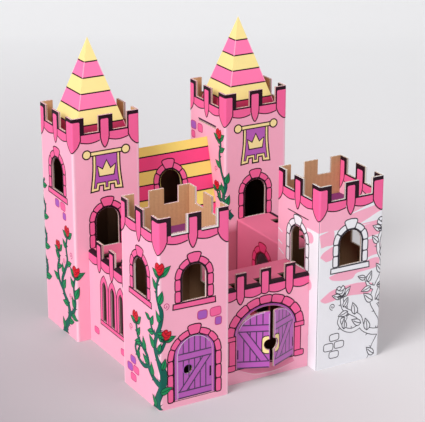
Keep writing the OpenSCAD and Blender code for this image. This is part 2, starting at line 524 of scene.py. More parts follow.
# %% [markdown]
# ## Palace and spires
# The palace is a sheet folded over a steep ridge, with a mustard roof between pink walls. A second
# material for the roof would need its faces picked, so the height above the deck chooses the ink
# instead, and the depth is the lesser of those in from a wall and in from a slope. A spire shows no cut
# edge and takes one plain ink: its stripes are printed later.

# %% Dress the palace and the spires
PALACE_H = size("palace", 2)
RIDGE_RISE = PALACE_H - DECK
SLOPE = math.hypot(RAMPART_HALF, RIDGE_RISE)
PALACE_Y = middle("palace").y
PALACE_GLOOM = (PALACE_H, 0.95, 0.3)
SPIRES = ("spire_left", "spire_right")


def palace_depth(x, y, z):
    across = abs(y - PALACE_Y)
    wall = RAMPART_HALF - across
    roof = (RAMPART_HALF * RIDGE_RISE - across * RIDGE_RISE - (z - DECK) * RAMPART_HALF) / SLOPE
    return wall.least(roof)


def palace_colour(finish, point, place):
    wall = printed(finish, point, INKS["wall_pink"])
    return finish.mix(place[2] > DECK, wall, printed(finish, point, INKS["mustard"]))


dress("palace", board("palace", palace_depth, palace_colour, PALACE_GLOOM, WALL_YARD))
for name in SPIRES:
    dress(name, ink("pale_yellow"))
print(f"dressed the palace, with slopes of {SLOPE:.0f}, and the spires")

# %% [markdown]
# ## Leaves on folds
# The gate's leaves and the tower's door are cut on three sides and fold on the fourth. Their angles
# could be typed in, but the model's joints know each fold's place and how far its leaf already stands
# open. The printed side of a leaf is the plane through its fold, turned by that angle. Next to the fold
# the leaf's narrow edge still carries print.

# %% Dress the leaves
FOLD_EDGE = 1.2
JOINTS = {joint["name"]: joint for joint in frame["joints"]}
LEAVES = {
    "gate_leaf_left": ("gate_left_fold", "gate_left"),
    "gate_leaf_right": ("gate_right_fold", "gate_right"),
    "tower_door": ("tower_door_fold", "door"),
}


def fold_of(joint_name):
    """Returns a fold's place in millimetres and its leaf's turn about +Z, in radians."""
    joint = JOINTS[joint_name]
    opened = -math.radians(joint["range_deg"][0])
    return Vector(joint["pos_m"]) / MM, opened * joint["axis"][2]


def leaf_depth(joint_name):
    place, turn = fold_of(joint_name)
    inward = Matrix.Rotation(turn, 3, "Z") @ Vector((0, 1, 0))

    def depth(x, y, z):
        below = (x - place.x) * inward.x + (y - place.y) * inward.y
        along = abs((x - place.x) * inward.y - (y - place.y) * inward.x)
        return below - (along < FOLD_EDGE) * BOARD

    return depth


for name, (joint_name, _) in LEAVES.items():
    dress(name, board(name, leaf_depth(joint_name), plain("purple"), varnished=True))
    print(name, "turned", round(math.degrees(fold_of(joint_name)[1]), 1))

# %% [markdown]
# ## Drawn lines
# Most printed shapes have a dark drawn outline. A bevelled curve would be round, and a line of ink is
# flat, so a line is worked out as its left and right sides. At a corner both sides move out along the
# mitre, as a frame maker saws it, and a limit keeps sharp tips short.

# %% Work out the sides of a drawn line
MITRE = 0.6


def line_sides(points, width, closed):
    """The two sides of a line, whose width is a number or a function of the way along it."""
    width_at = width if callable(width) else (lambda way: width)
    left, right = [], []
    count = len(points)
    for i, (u, v) in enumerate(points):
        before = points[i - 1] if (i or closed) else points[i]
        after = points[(i + 1) % count] if (i + 1 < count or closed) else points[i]
        coming = Vector((u - before[0], v - before[1])).normalized()
        going = Vector((after[0] - u, after[1] - v)).normalized()
        run = (coming + going).normalized()
        reach = width_at(i / (count - 1)) / 2 / max(run.dot(coming), run.dot(going), MITRE)
        left.append((u - run.y * reach, v + run.x * reach))
        right.append((u + run.y * reach, v - run.x * reach))
    return left, right


print("the sides of a line 2 wide:", line_sides([(0, 0), (9, 0)], 2, False))

# %% [markdown]
# ## A printing job
# A real sheet is printed flat and folded afterwards, and so is this print. A formula could paint plain
# stripes, but not hundreds of drawn shapes. So each shape becomes a thin closed slab of ink, a few
# hundredths of a millimetre thick, and higher layers cover lower ones. Within a layer each slab is a
# hair higher than the one before, because faces at one height would flicker. `fold` cuts the slabs
# along the creases, bends them onto their board and makes the piece.

# %% Make a flat printing job
LIFT = 0.03
SINK = 0.06
PLY = 0.0006
PLIES = 40
CUT_REACH = 1e-5
FINE_LINE = 1.3
# The layers from the board up: the outline of a shape lies one above it.
WASH, RULE, FORM, FORM_LINE, OVER, OVER_LINE, TOP, TOP_LINE, CREST, CREST_LINE, BLOOM = range(1, 12)


class Printing:
    """Ink shapes in flat millimetres (u, v), folded onto a board at the end."""

    def __init__(self, name, body, slot, place, creases=()):
        self.name, self.body, self.slot = name, body, slot
        self.place, self.creases = place, creases
        self.mesh = bmesh.new()
        self.inks = []
        self.count = 0

    def _ink(self, faces, name):
        self.count += 1
        if name not in self.inks:
            self.inks.append(name)
        for face in faces:
            face.material_index = self.inks.index(name)

    def _pair(self, point, layer):
        low = self.mesh.verts.new((point[0], point[1], -SINK))
        return low, self.mesh.verts.new((point[0], point[1], LIFT * layer + PLY * (self.count % PLIES)))

    def fill(self, outline, ink_name, layer):
        """One slab inside an outline."""
        turns = sum(a[0] * b[1] - b[0] * a[1] for a, b in zip(outline, outline[1:] + outline[:1]))
        points = outline if turns > 0 else outline[::-1]
        pairs = [self._pair(point, layer) for point in points]
        new = self.mesh.faces.new
        faces = [new([high for _, high in pairs]), new([low for low, _ in reversed(pairs)])]
        for (low_a, high_a), (low_b, high_b) in zip(pairs, pairs[1:] + pairs[:1]):
            faces.append(new((low_a, low_b, high_b, high_a)))
        self._ink(faces, ink_name)

    def strip(self, left, right, ink_name, layer, closed=False):
        """One slab between two lines, left and right of the way they run."""
        # A row is the low and high corner on the left, then those on the right.
        rows = [self._pair(a, layer) + self._pair(b, layer) for a, b in zip(left, right)]
        new = self.mesh.faces.new
        faces = []
        for (ll, lh, rl, rh), (ll2, lh2, rl2, rh2) in zip(rows, rows[1:] + (rows[:1] if closed else [])):
            faces += [new((rh, rh2, lh2, lh)), new((rl, ll, ll2, rl2))]
            faces += [new((rl, rl2, rh2, rh)), new((ll2, ll, lh, lh2))]
        if not closed:
            (ll, lh, rl, rh), (ll2, lh2, rl2, rh2) = rows[0], rows[-1]
            faces += [new((rl, rh, lh, ll)), new((rl2, ll2, lh2, rh2))]
        self._ink(faces, ink_name)

    def ribbon(self, points, width, ink_name, layer, closed=False):
        """A drawn line."""
        self.strip(*line_sides(points, width, closed), ink_name, layer, closed)

    def shape(self, outline, ink_name, line_name, layer, line=FINE_LINE):
        """A filled shape with a drawn outline."""
        self.fill(outline, ink_name, layer)
        self.ribbon(outline, line, line_name, layer + 1, closed=True)

    def fold(self):
        """Cuts the print along the creases, bends it onto its board and makes the piece."""
        for crease in self.creases:
            near = [face for face in self.mesh.faces if len(face.verts) > 4
                    and min(v.co.x for v in face.verts) < crease < max(v.co.x for v in face.verts)]
            bmesh.ops.triangulate(self.mesh, faces=near)
            parts = self.mesh.verts[:] + self.mesh.edges[:] + self.mesh.faces[:]
            bmesh.ops.bisect_plane(self.mesh, geom=parts, dist=CUT_REACH, plane_co=(crease, 0, 0),
                                   plane_no=(1, 0, 0))
        for vert in self.mesh.verts:
            vert.co = self.place(*vert.co) * MM
        data = bpy.data.meshes.new(self.name)
        self.mesh.to_mesh(data)
        self.mesh.free()
        for name in self.inks:
            data.materials.append(ink(name))
        piece = bpy.data.objects.new(self.name, data)
        bpy.context.scene.collection.objects.link(piece)
        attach(piece, self.body)
        print(self.name, len(data.polygons), "faces,", len(self.inks), "inks")


print("ink layers rise by", LIFT, "mm")

# %% [markdown]
# ## Where the print goes
# A wall's print lies on one plane. A tower's print runs once round the tube, from the front left crease
# to the right, and bends round each crease on its way. Four separate prints would leave a gap at each
# corner, so the flat u is turned into a place on the rounded square instead.

# %% Place flat print on panels and round towers
BEND_STEPS = 4
UP = (0, 0, 1)


def turned(vector, degrees):
    return Matrix.Rotation(math.radians(degrees), 3, "Z") @ Vector(vector)


def panel(origin, u_axis, v_axis=UP):
    """Places flat points on a plane; the ink rises along u x v."""
    origin, u_axis, v_axis = Vector(origin), Vector(u_axis).normalized(), Vector(v_axis).normalized()
    rise = u_axis.cross(v_axis)
    return lambda u, v, h: origin + u_axis * u + v_axis * v + rise * h


def round_tower(node):
    """Places flat points round a tower: u runs right from the front left crease, v up."""
    foot = ground(node)
    inset = TOWER_W / 2 - CREASE

    def place(u, v, h):
        face = math.floor(u / TOWER_W)
        across = u - face * TOWER_W - TOWER_W / 2
        if abs(across) <= inset:
            flat = Vector((across, -TOWER_W / 2 - h, v))
        else:
            side = math.copysign(1, across)
            bend = (abs(across) - inset) / (2 * CREASE) * math.pi / 2
            reach = CREASE + h
            flat = Vector((side * (inset + reach * math.sin(bend)), -inset - reach * math.cos(bend), v))
        return turned(flat, 90 * face) + foot

    return place


TOWER_CREASES = [corner * TOWER_W + CREASE * step / BEND_STEPS
                 for corner in range(-1, 5) for step in range(-BEND_STEPS, BEND_STEPS + 1)]
print(len(TOWER_CREASES), "cuts round a tower")

# %% [markdown]
# ## Outlines
# Hand-drawn stones are never quite square. Points could be typed for each, but a superellipse gives a
# pillow-shaped block of any proportion from one formula. Arcs serve for arches, discs and round ends,
# and stems and petals run through a few chosen points as a smooth spline.

# %% Draw basic outlines
STONE_POINTS = 28
DISC_POINTS = 24
ARCH_STEPS = 24
PILLOW_POWER = 5.0
wobble = random.Random(7)


def rectangle(left, right, low, high):
    return [(left, low), (right, low), (right, high), (left, high)]


def pillow(power=PILLOW_POWER):
    """A block with soft corners, from -1 to 1."""
    points = []
    for i in range(STONE_POINTS):
        a = math.tau * i / STONE_POINTS
        points.append(tuple(math.copysign(abs(c) ** (2 / power), c) for c in (math.cos(a), math.sin(a))))
    return points


def block(u, v, w, h, lean=0.0, power=PILLOW_POWER):
    c, s = math.cos(lean), math.sin(lean)
    return [(u + x * w / 2 * c - y * h / 2 * s, v + x * w / 2 * s + y * h / 2 * c) for x, y in pillow(power)]


def arc(u, v, reach, rise, start, stop, steps):
    angles = [start + (stop - start) * i / steps for i in range(steps + 1)]
    return [(u + reach * math.cos(a), v + rise * math.sin(a)) for a in angles]


def disc(u, v, radius):
    return arc(u, v, radius, radius, 0, math.tau, DISC_POINTS)[:-1]


def arch_line(mid, foot, spring, half, rise, steps=ARCH_STEPS):
    """Up the left jamb, over the arch and down the right jamb."""
    return [(mid - half, foot)] + arc(mid, spring, half, rise, math.pi, 0, steps) + [(mid + half, foot)]


def spline(points, steps):
    """A smooth line through points."""
    ends = [points[0]] + list(points) + [points[-1]]
    line = []
    for corners in zip(ends, ends[1:], ends[2:], ends[3:]):
        for t in (i / steps for i in range(steps)):
            line.append(tuple(0.5 * (2 * b + (c - a) * t + (2 * a - 5 * b + 4 * c - d) * t * t
                                     + (3 * b - a - 3 * c + d) * t ** 3) for a, b, c, d in zip(*corners)))
    return line + [tuple(points[-1])]


def loop(points, steps):
    """A smooth closed line through points."""
    return spline(points[-2:] + points + points[:2], steps)[2 * steps:-3 * steps]


print("a stone has", len(pillow()), "points, an arch", len(arch_line(0, 0, 1, 1, 1)))

# %% [markdown]
# ## Stones
# Every opening has a surround of cartoon stones: jamb stones at both sides, wedges round the arch and
# often a keystone. They could all be drawn as outlines, but a stone is the same pillow each time. A
# `cell` function bends the pillow to its place, straight in a jamb and wedge-shaped in an arch, and
# each stone grows or shrinks a little at random. Coloured towers have pink stones with a dark line, the
# uncoloured one white stones with a pen line.

# %% Draw stones and surrounds
STONE = 10.4
EDGE_LINE = 2.0
EDGE_OVERLAP = 0.4
STONE_LINE = 1.5
SMALLEST, SPREAD = 0.985, 0.03
HAIR = 0.1
KEY_ANGLE, KEY_EXTRA, KEY_FLARE = 0.32, 0.65, 0.1
COLOURED = ("stone_pink", "line")
UNCOLOURED = ("white", "pen")


def stones(job, cells, inks, layer=FORM):
    for cell in cells:
        grow = SMALLEST + SPREAD * wobble.random()
        job.shape([cell(x * grow, y * grow) for x, y in pillow()], *inks, layer, STONE_LINE)


def jamb(mid, low, high, side, half, depth):
    def cell(x, y):
        return mid + side * (half + depth / 2) + x * depth / 2, (low + high) / 2 + y * (high - low) / 2
    return cell


def wedge(mid, spring, half, rise, depth, start, stop, extra=0.0, flare=0.0):
    """A stone between two angles of an arch, counted from the right springing point."""
    def cell(x, y):
        reach = (y + 1) / 2
        angle = (start + stop) / 2 - x * (stop - start) / 2 * (1 + flare * reach)
        out = depth * reach * (1 + extra)
        return mid + (half + out) * math.cos(angle), spring + (rise + out) * math.sin(angle)
    return cell


def surround(job, mid, foot, spring, half, inks, jambs=2, ring=2, rise=None, key=KEY_ANGLE):
    """Jamb stones, wedges and a keystone round an arched opening."""
    rise = half if rise is None else rise
    edge = EDGE_LINE + EDGE_OVERLAP
    out = edge / 2 + HAIR
    job.ribbon(arch_line(mid, foot, spring, half + out, rise + out), edge, "line", WASH)
    half, rise, depth = half + EDGE_LINE, rise + EDGE_LINE, STONE - EDGE_LINE
    tall = (spring - foot) / jambs
    cells = [jamb(mid, foot + i * tall, foot + (i + 1) * tall, side, half, depth)
             for side in (-1, 1) for i in range(jambs)]
    step = (math.pi / 2 - key) / ring
    for i in range(ring):
        for start in (i * step, math.pi - (i + 1) * step):
            cells.append(wedge(mid, spring, half, rise, depth, start, start + step))
    stones(job, cells, inks)
    crown = (math.pi / 2 - key, math.pi / 2 + key)
    stones(job, [wedge(mid, spring, half, rise, depth, *crown, KEY_EXTRA, KEY_FLARE)], inks, OVER)


print("surrounds are", STONE, "mm deep")

# %% [markdown]
# ## Windows, doorways and bricks
# A tower's arched window has a slanting sill, and a doorway opens onto a deck. Loose bricks are
# scattered over the walls, each leaning a little. They could be drawn wall by wall, but all of them
# repeat, so each is a short function that takes only its place and its inks.

# %% Draw windows, doorways and bricks
WINDOW_FOOT_DROP = 115.0
WINDOW_SPRING_DROP = 84.0
DOORWAY_SPRING = DECK + 38.0
SILL = [(-30, 0), (30, -0.6), (30.5, -8.4), (-30.5, -7)]
SILL_LINE = 1.4
SILL_STEP = 1.0
BRICK_LEAN = 0.05
BRICK_POWER = 4.0
BRICK_LINE = 1.1


def moved(outline, u, v):
    return [(u + x, v + y) for x, y in outline]


def window(job, mid, top, inks):
    foot = top - WINDOW_FOOT_DROP
    surround(job, mid, foot, top - WINDOW_SPRING_DROP, ARCH_HALF, inks)
    reach, low = ARCH_HALF + SILL_STEP, foot - SILL_LINE / 2
    job.ribbon([(mid - reach, low), (mid + reach, low)], SILL_LINE, inks[1], RULE)
    job.shape(moved(SILL, mid, foot - SILL_STEP), *inks, OVER, STONE_LINE)


def doorway(job, mid, inks):
    surround(job, mid, DECK, DOORWAY_SPRING, ARCH_HALF, inks)


def bricks(job, table, line="brick_line"):
    """Bricks from a table of place, width, height and ink."""
    for u, v, w, h, colour in table:
        lean = wobble.uniform(-BRICK_LEAN, BRICK_LEAN)
        job.shape(block(u, v, w, h, lean, BRICK_POWER), colour, line, FORM, BRICK_LINE)


print("doorways spring at", round(DOORWAY_SPRING))

# %% [markdown]
# ## Rim
# Below the notches runs a sagging band of stone. Each merlon is printed black with a pink tongue set to
# the left on it, so a thick black edge is left on its right and top like a cast shadow. Shading could
# darken those edges, but on the real sheet they are ink, and stay black in any light. At a crease two
# half merlons share one shield.

# %% Draw the rim of a tower
NOTCH_DEPTH = 22.0
CORNER_MERLON = 18.0
MIDDLE_MERLON = 21.0
NOTCH_W = (TOWER_W - 2 * CORNER_MERLON - MIDDLE_MERLON) / 2
BAND = 12.0
BAND_SAG = 2.6
BAND_STEPS = 10
BAND_EDGE = 2.2
EDGE_TOP, EDGE_RIGHT, EDGE_LEFT = 4.4, 5.6, 1.6
SHIELD = (25.0, 9.0)
TONGUE = (23.0, 8.0)
TONGUE_WAIST, TONGUE_CHEEK = 0.6, 0.35
TONGUE_NICK = (1.5, 2.0)


def tongue(job, left, right, low, high, form):
    """A merlon's pink face; form is the drop to its point and the drop to its shoulders."""
    point_drop, shoulder = form
    mid = (left + right) / 2
    waist = low - shoulder - (point_drop - shoulder) * TONGUE_WAIST
    cheek = (mid - left) * TONGUE_CHEEK
    lower = spline([(left, low - shoulder), (left + cheek, waist), (mid, low - point_drop),
                    (right - cheek, waist), (right, low - shoulder)], 5)
    nick_u, nick_v = TONGUE_NICK
    upper = [(right, high - nick_v), (right - nick_u, high), (left + nick_u, high), (left, high - nick_v)]
    job.shape(lower + upper, *COLOURED, TOP, STONE_LINE)


def band(job, left, right, top):
    """A sagging course of stone between two merlons."""
    lower = [(left + (right - left) * i / BAND_STEPS,
              top - BAND - BAND_SAG * math.sin(math.pi * i / BAND_STEPS)) for i in range(BAND_STEPS + 1)]
    job.fill(lower + [(right, top - EDGE_OVERLAP), (left, top - EDGE_OVERLAP)], "stone_pink", FORM)
    job.ribbon(lower, STONE_LINE, "line", FORM_LINE)
    job.ribbon([(left, top - BAND_EDGE / 2), (right, top - BAND_EDGE / 2)], BAND_EDGE, "line", FORM_LINE)


def tower_rim(job, top):
    notch = top - NOTCH_DEPTH
    for face in range(4):
        corner = face * TOWER_W
        left_end = corner + CORNER_MERLON
        mid_start = left_end + NOTCH_W
        mid_end = mid_start + MIDDLE_MERLON
        right_end = mid_end + NOTCH_W
        for left, right in ((corner - CORNER_MERLON, left_end), (mid_start, mid_end)):
            job.fill(rectangle(left, right, notch, top - HAIR), "line", OVER)
        for left, right in ((left_end, mid_start), (mid_end, right_end)):
            band(job, left - EDGE_RIGHT, right + EDGE_LEFT, notch)
        shield_left = corner - CORNER_MERLON + EDGE_LEFT
        tongue(job, shield_left, left_end - EDGE_RIGHT, notch, top - EDGE_TOP, SHIELD)
        tongue(job, mid_start + 1.5 * EDGE_LEFT, mid_end - EDGE_RIGHT, notch, top - EDGE_TOP, TONGUE)


print("notches are", round(NOTCH_W, 1), "wide")

# %% [markdown]
# ## Leaves and blooms
# Roses climb the corners of the towers. They are drawn here as a plain garden climber of this lesson's
# own, with half-open blooms seen from the side on leafy calyxes. A bloom could be a picture, but a few
# points in its own small frame can be turned and scaled to any place. The uncoloured tower has the same
# plant in pen outline, so the inks come as a set.

# %% Draw leaves and blooms
PLANT = {"stem": "stem", "leaf": "leaf", "line": "leaf_line", "bloom": "red", "petal": "deep_red",
         "curl": "brick_line", "weight": 0.8}
PEN_PLANT = {"stem": "white", "leaf": "white", "line": "pen", "bloom": "white", "petal": "pen",
             "curl": "pen", "weight": 1.15}
BUD = [(0, -0.55), (0.62, -0.22), (0.86, 0.42), (0.64, 1.04), (0.24, 0.9), (-0.1, 1.2), (-0.62, 1.02),
       (-0.88, 0.4), (-0.62, -0.22)]
PETALS = [[(-0.6, 1.0), (-0.3, 0.55), (0.25, 0.3), (0.84, 0.5)], [(0.24, 0.9), (0.06, 0.66), (-0.26, 0.58)],
          [(-0.86, 0.4), (-0.35, 0.0), (0.15, -0.12), (0.5, 0.3)]]
PETAL_LINE = BLOOM + 2
LEAF_HALF = 0.28
LEAF_SWELL = 0.7
LEAF_STEPS, RIB_STEPS = 7, 5
SEPALS = (0.55, 1.57, 2.6)


def leaf(job, u, v, aim, length, inks, bend):
    """A pointed leaf with a rib, hooked to one side."""
    c, s = math.cos(aim), math.sin(aim)

    def at(x, y):
        y += bend * x * x
        return u + length * (x * c - y * s), v + length * (x * s + y * c)

    def edge(step, side):
        t = step / LEAF_STEPS
        return at(t, side * LEAF_HALF * math.sin(math.pi * t ** LEAF_SWELL))

    upper = [edge(step, 1) for step in range(LEAF_STEPS + 1)]
    lower = [edge(step, -1) for step in range(LEAF_STEPS - 1, 0, -1)]
    job.shape(upper + lower, inks["leaf"], inks["line"], TOP_LINE, inks["weight"])
    rib = [at(step / RIB_STEPS, 0) for step in range(RIB_STEPS)]
    job.ribbon(rib, inks["weight"], inks["line"], CREST_LINE)


def rose(job, u, v, radius, inks, lean):
    """A half-open bloom on its calyx, with a leaf on each side."""
    c, s = math.cos(lean), math.sin(lean)

    def at(x, y):
        return u + radius * (x * c - y * s), v + radius * (x * s + y * c)

    leaf(job, *at(0.1, -0.6), lean + 0.25, radius * 1.9, inks, 0.25)
    leaf(job, *at(-0.1, -0.6), lean + math.pi - 0.25, radius * 1.7, inks, -0.25)
    job.shape([at(*point) for point in loop(BUD, 5)], inks["bloom"], inks["petal"], BLOOM, inks["weight"])
    for line in PETALS:
        job.ribbon([at(*point) for point in spline(line, 5)], inks["weight"], inks["petal"], PETAL_LINE)
    for aim in SEPALS:
        leaf(job, *at(0, -0.85), lean + aim, radius * 0.95, inks, 0)


print("a bloom has", len(PETALS), "petal lines and", len(SEPALS), "sepals")

# %% [markdown]
# ## Stems
# A climber's stem winds, tapers and bears thorns, with leaves left and right by turns. A bevelled curve
# could make it round, but ink is flat, so it is a drawn line whose width shrinks on the way: a wide
# dark one, and over it a narrower green one. Curled tendrils, thin as a pen line, stand beside it.

# %% Draw stems and tendrils
LUSH = 1.25
STEM_STEPS = 7
STEM_OUTLINE = 1.8
TAPER, ROOT_TAPER = 1.3, 16
THORN, THORN_HALF, THORN_LEAN = 4.0, 2.2, 1.15
FIRST_THORN, LAST_THORN = 0.8, 0.7
LEAF_LEAN, LEAF_BEND = 1.1, 0.25
CURL_POINTS, CURL_SHRINK, CURL_STEP, CURL_START = 24, 26, 0.4, -1.6
CURL_LINE = 1.0


def tendril(job, u, v, radius, way, inks):
    """A spiral that winds up to one side."""
    line = []
    for t in range(CURL_POINTS):
        reach, angle = radius * (1 - t / CURL_SHRINK), t * CURL_STEP + CURL_START
        line.append((u + way * reach * math.cos(angle), v + reach * math.sin(angle)))
    job.ribbon(line, CURL_LINE, inks["curl"], FORM)


def thorn(job, u, v, aim, side, reach, inks):
    c, s = THORN_HALF * math.cos(aim), THORN_HALF * math.sin(aim)
    lean = aim + side * THORN_LEAN
    tip = (u + reach * math.cos(lean), v + reach * math.sin(lean))
    job.shape([(u + c, v + s), tip, (u - c, v - s)], inks["stem"], inks["line"], RULE, inks["weight"])


def stem(job, points, thick, thin, thorns, leaves, inks, root=0.0):
    """A tapering stem; leaves is a list of (way along, side, length)."""
    line = spline(points, STEM_STEPS)

    def width(way):
        return LUSH * (thin + (thick - thin) * (1 - way) ** TAPER) + root * (1 - way) ** ROOT_TAPER

    def at(way):
        i = min(int(way * (len(line) - 1)), len(line) - 2)
        (u, v), (u2, v2) = line[i], line[i + 1]
        return u, v, math.atan2(v2 - v, u2 - u)

    job.ribbon(line, lambda way: width(way) + STEM_OUTLINE * inks["weight"], inks["line"], FORM_LINE)
    job.ribbon(line, width, inks["stem"], OVER_LINE)
    for i in range(thorns):
        way = (i + FIRST_THORN) / (thorns + LAST_THORN)
        thorn(job, *at(way), 1 if i % 2 else -1, width(way) / 2 + THORN, inks)
    for way, side, length in leaves:
        u, v, aim = at(way)
        leaf(job, u, v, aim + side * LEAF_LEAN, length * LUSH, inks, -LEAF_BEND * side)


print("stems taper, with thorns", THORN, "mm long")

# %% [markdown]
# ## Whole plants
# Three plants with blooms grow on the castle: a tall climber with side shoots on the front corners, a
# short one that forks low on the back towers, and a spray that rises from a deck. They could be drawn
# by rule, but a plant that looks drawn by hand is listed one by one. So each is a short list of shoots,
# blooms and tendrils, placed from the plant's own line, and one function draws any of them. Only the
# bloomless vine on a crease winds regularly, so a loop makes it.

# %% Draw whole plants
# A shoot is its points, widths at foot and tip, thorns, leaves, and how much its root spreads.
# A bloom is its place, radius and lean. A tendril is its place, radius and side.
TALL_CLIMBER = {
    "shoots": [
        ([(-7, 0.8), (-7, 7), (-5, 16), (4, 34), (5, 52), (-4, 68), (-12, 84), (-7, 102), (1, 118),
          (3, 136), (-5, 154), (-5, 170), (0, 183)], 10.5, 2.6, 13,
         [(0.06, 1, 13), (0.22, -1, 14), (0.36, -1, 12), (0.5, 1, 15), (0.6, -1, 12), (0.7, 1, 13),
          (0.8, -1, 14), (0.9, 1, 12)], 9.0),
        ([(3, 36), (-13, 39), (-27, 48), (-33, 64), (-46, 73), (-58, 82), (-62, 98)], 7.0, 2.8, 8,
         [(0.25, -1, 14), (0.42, 1, 13), (0.6, -1, 14), (0.74, 1, 12), (0.88, -1, 11)], 0.0),
        ([(-29, 52), (-43, 47), (-57, 52), (-65, 63), (-61, 72), (-54, 68), (-57, 62)], 4.4, 1.6, 4,
         [(0.35, -1, 11)], 0.0),
        ([(-10, 80), (1, 83), (8, 94)], 5.0, 2.6, 2, [(0.4, 1, 10)], 0.0),
        ([(-8, 101), (-19, 107), (-25, 120)], 4.2, 1.8, 3,
         [(0.4, 1, 12), (0.75, -1, 12), (0.98, 1, 10)], 0.0),
    ],
    "blooms": [(0, 190, 9.4, 0.1), (-63, 105, 8.5, 0.25), (9, 101, 7.8, -0.3)],
    "tendrils": [(10, 66, 5.0, 1), (10, 142, 5.0, 1), (-76, 88, 5.0, -1)],
}
SHORT_CLIMBER = {
    "shoots": [
        ([(-4, 0.8), (-4, 6), (0, 14), (10, 28), (8, 46), (-6, 60), (-10, 78), (0, 96), (8, 112), (5, 130),
          (9, 146)], 9.5, 2.4, 11,
         [(0.12, 1, 13), (0.28, -1, 13), (0.42, 1, 13), (0.55, -1, 14), (0.66, 1, 12), (0.78, -1, 12),
          (0.9, 1, 11)], 8.0),
        ([(-8, 64), (-20, 74), (-24, 92), (-18, 106), (-20, 117)], 4.8, 2.2, 5,
         [(0.3, 1, 13), (0.55, -1, 11), (0.8, 1, 11)], 0.0),
        ([(9, 34), (22, 40), (30, 56), (26, 76), (31, 94)], 5.6, 2.4, 6,
         [(0.2, -1, 14), (0.42, 1, 13), (0.62, -1, 15), (0.82, 1, 12)], 0.0),
    ],
    "blooms": [(10, 153, 8.5, 0.1), (-20, 124, 7.6, 0.3), (31, 101, 9.0, -0.2)],
    "tendrils": [(20, 124, 5.0, 1), (-2, 108, 4.5, -1), (14, 62, 4.5, 1)],
}
DECK_SPRAY = {
    "shoots": [
        ([(22, 137), (12, 151.4), (6, 169.4), (11, 187.4), (0, 206.6), (-5, 228.2), (-2, 245), (-6, 253.4)],
         6.0, 2.4, 9,
         [(0.08, 1, 12), (0.2, -1, 14), (0.34, 1, 13), (0.46, -1, 13), (0.62, 1, 12), (0.78, -1, 11),
          (0.9, 1, 9)], 0.0),
        ([(8, 165.4), (-4, 163.4), (-11, 173.4)], 4.2, 2.2, 2, [(0.6, -1, 10)], 0.0),
    ],
    "blooms": [(-7, 257, 8.3, 0.1), (-12, 180.4, 7.4, 0.2)],
    "tendrils": [(-14, 206.6, 4.5, -1)],
}
VINE_STEP, VINE_SWING = 22, 5
VINE_WIDTHS = (5.4, 2.2)
VINE_LEAF, VINE_SHRINK = 15, 0.6


def grow(job, u, plant, inks):
    """Draws a plant's shoots, blooms and tendrils."""
    for points, thick, thin, thorns, leaves, root in plant["shoots"]:
        stem(job, moved(points, u, 0), thick, thin, thorns, leaves, inks, root)
    for x, v, radius, lean in plant["blooms"]:
        rose(job, u + x, v, radius, inks, lean)
    for x, v, radius, way in plant["tendrils"]:
        tendril(job, u + x, v, radius, way, inks)


def corner_vine(job, u, low, high, inks):
    """A leafy stem without blooms that winds along a crease."""
    count = round((high - low) / VINE_STEP)
    swings = [1 if i % 2 else -1 for i in range(count + 1)]
    points = [(u + VINE_SWING * swing, low + (high - low) * i / count) for i, swing in enumerate(swings)]
    leaves = [((i + 0.5) / count, swings[i], VINE_LEAF - VINE_SHRINK * i) for i in range(count)]
    stem(job, points, *VINE_WIDTHS, count * 2, leaves, inks)


print("shoots:", [len(plant["shoots"]) for plant in (TALL_CLIMBER, SHORT_CLIMBER, DECK_SPRAY)])

# %% [markdown]
# ## Banner
# The back towers carry a printed banner on a gilt rod: purple cloth with a gilt hem, tabs along its
# foot and a simple crown. Cloth could be simulated, but this one is ink, so it is drawn. Cloth and hem
# are alike left and right, so only their left halves are written down and mirrored.

# %% Draw the banner
ROD_DROP = 53.0
CLOTH_H = 53.0
HEM = 4.2
CLOTH_SIDE = [(-20, CLOTH_H), (-20.5, CLOTH_H - 25), (-24, 0)]
CLOTH_TABS = [(-12, 1), (-11, 8), (-5, 8), (-5, 0)]
INNER_TABS = [(-19.4, 5), (-16, 5), (-14.5, 12), (-1.6, 12), (-1.6, 4.5)]
CROWN = [(-11, 21), (11, 21), (13.5, 36), (6, 31), (0, 43), (-6, 31), (-13.5, 36)]
ROD_L, ROD_W, ROD_POWER = 58.0, 5.5, 8.0
ROD_LIFT = 1.0
KNOB = 6.0
CLOTH_LINE, GILT_LINE, KNOB_LINE = 1.9, 1.6, 1.7


def both_halves(half):
    return half + [(-x, y) for x, y in half[::-1]]


def banner(job, mid, top):
    rod = top - ROD_DROP
    foot = rod - CLOTH_H
    side = spline(CLOTH_SIDE, 4)
    inner = [(x + HEM, y) for x, y in side[:-1]]
    job.shape(moved(both_halves(side + CLOTH_TABS), mid, foot), "gold", "line", FORM, CLOTH_LINE)
    job.shape(moved(both_halves(inner + INNER_TABS), mid, foot), "purple", "line", OVER)
    rod += ROD_LIFT
    job.shape(block(mid, rod, ROD_L, ROD_W, 0, ROD_POWER), "gold", "line", TOP, GILT_LINE)
    for end in (-1, 1):
        job.shape(disc(mid + end * ROD_L / 2, rod, KNOB), "gold", "line", CREST, KNOB_LINE)
    job.shape(moved(CROWN, mid, foot), "gold", "line", TOP, GILT_LINE)


print("banners are", CLOTH_H, "mm long")

# %% [markdown]
# ## Front left tower
# Each tower's print is one job, from the front left crease right round to it again. The front left
# tower has windows, doorways onto the decks, a slot that locks its floor, a round-headed door and a
# climber on its corner. White margins show beside its front notches. A paler edge colour would show on
# every notch, so these margins are printed too.

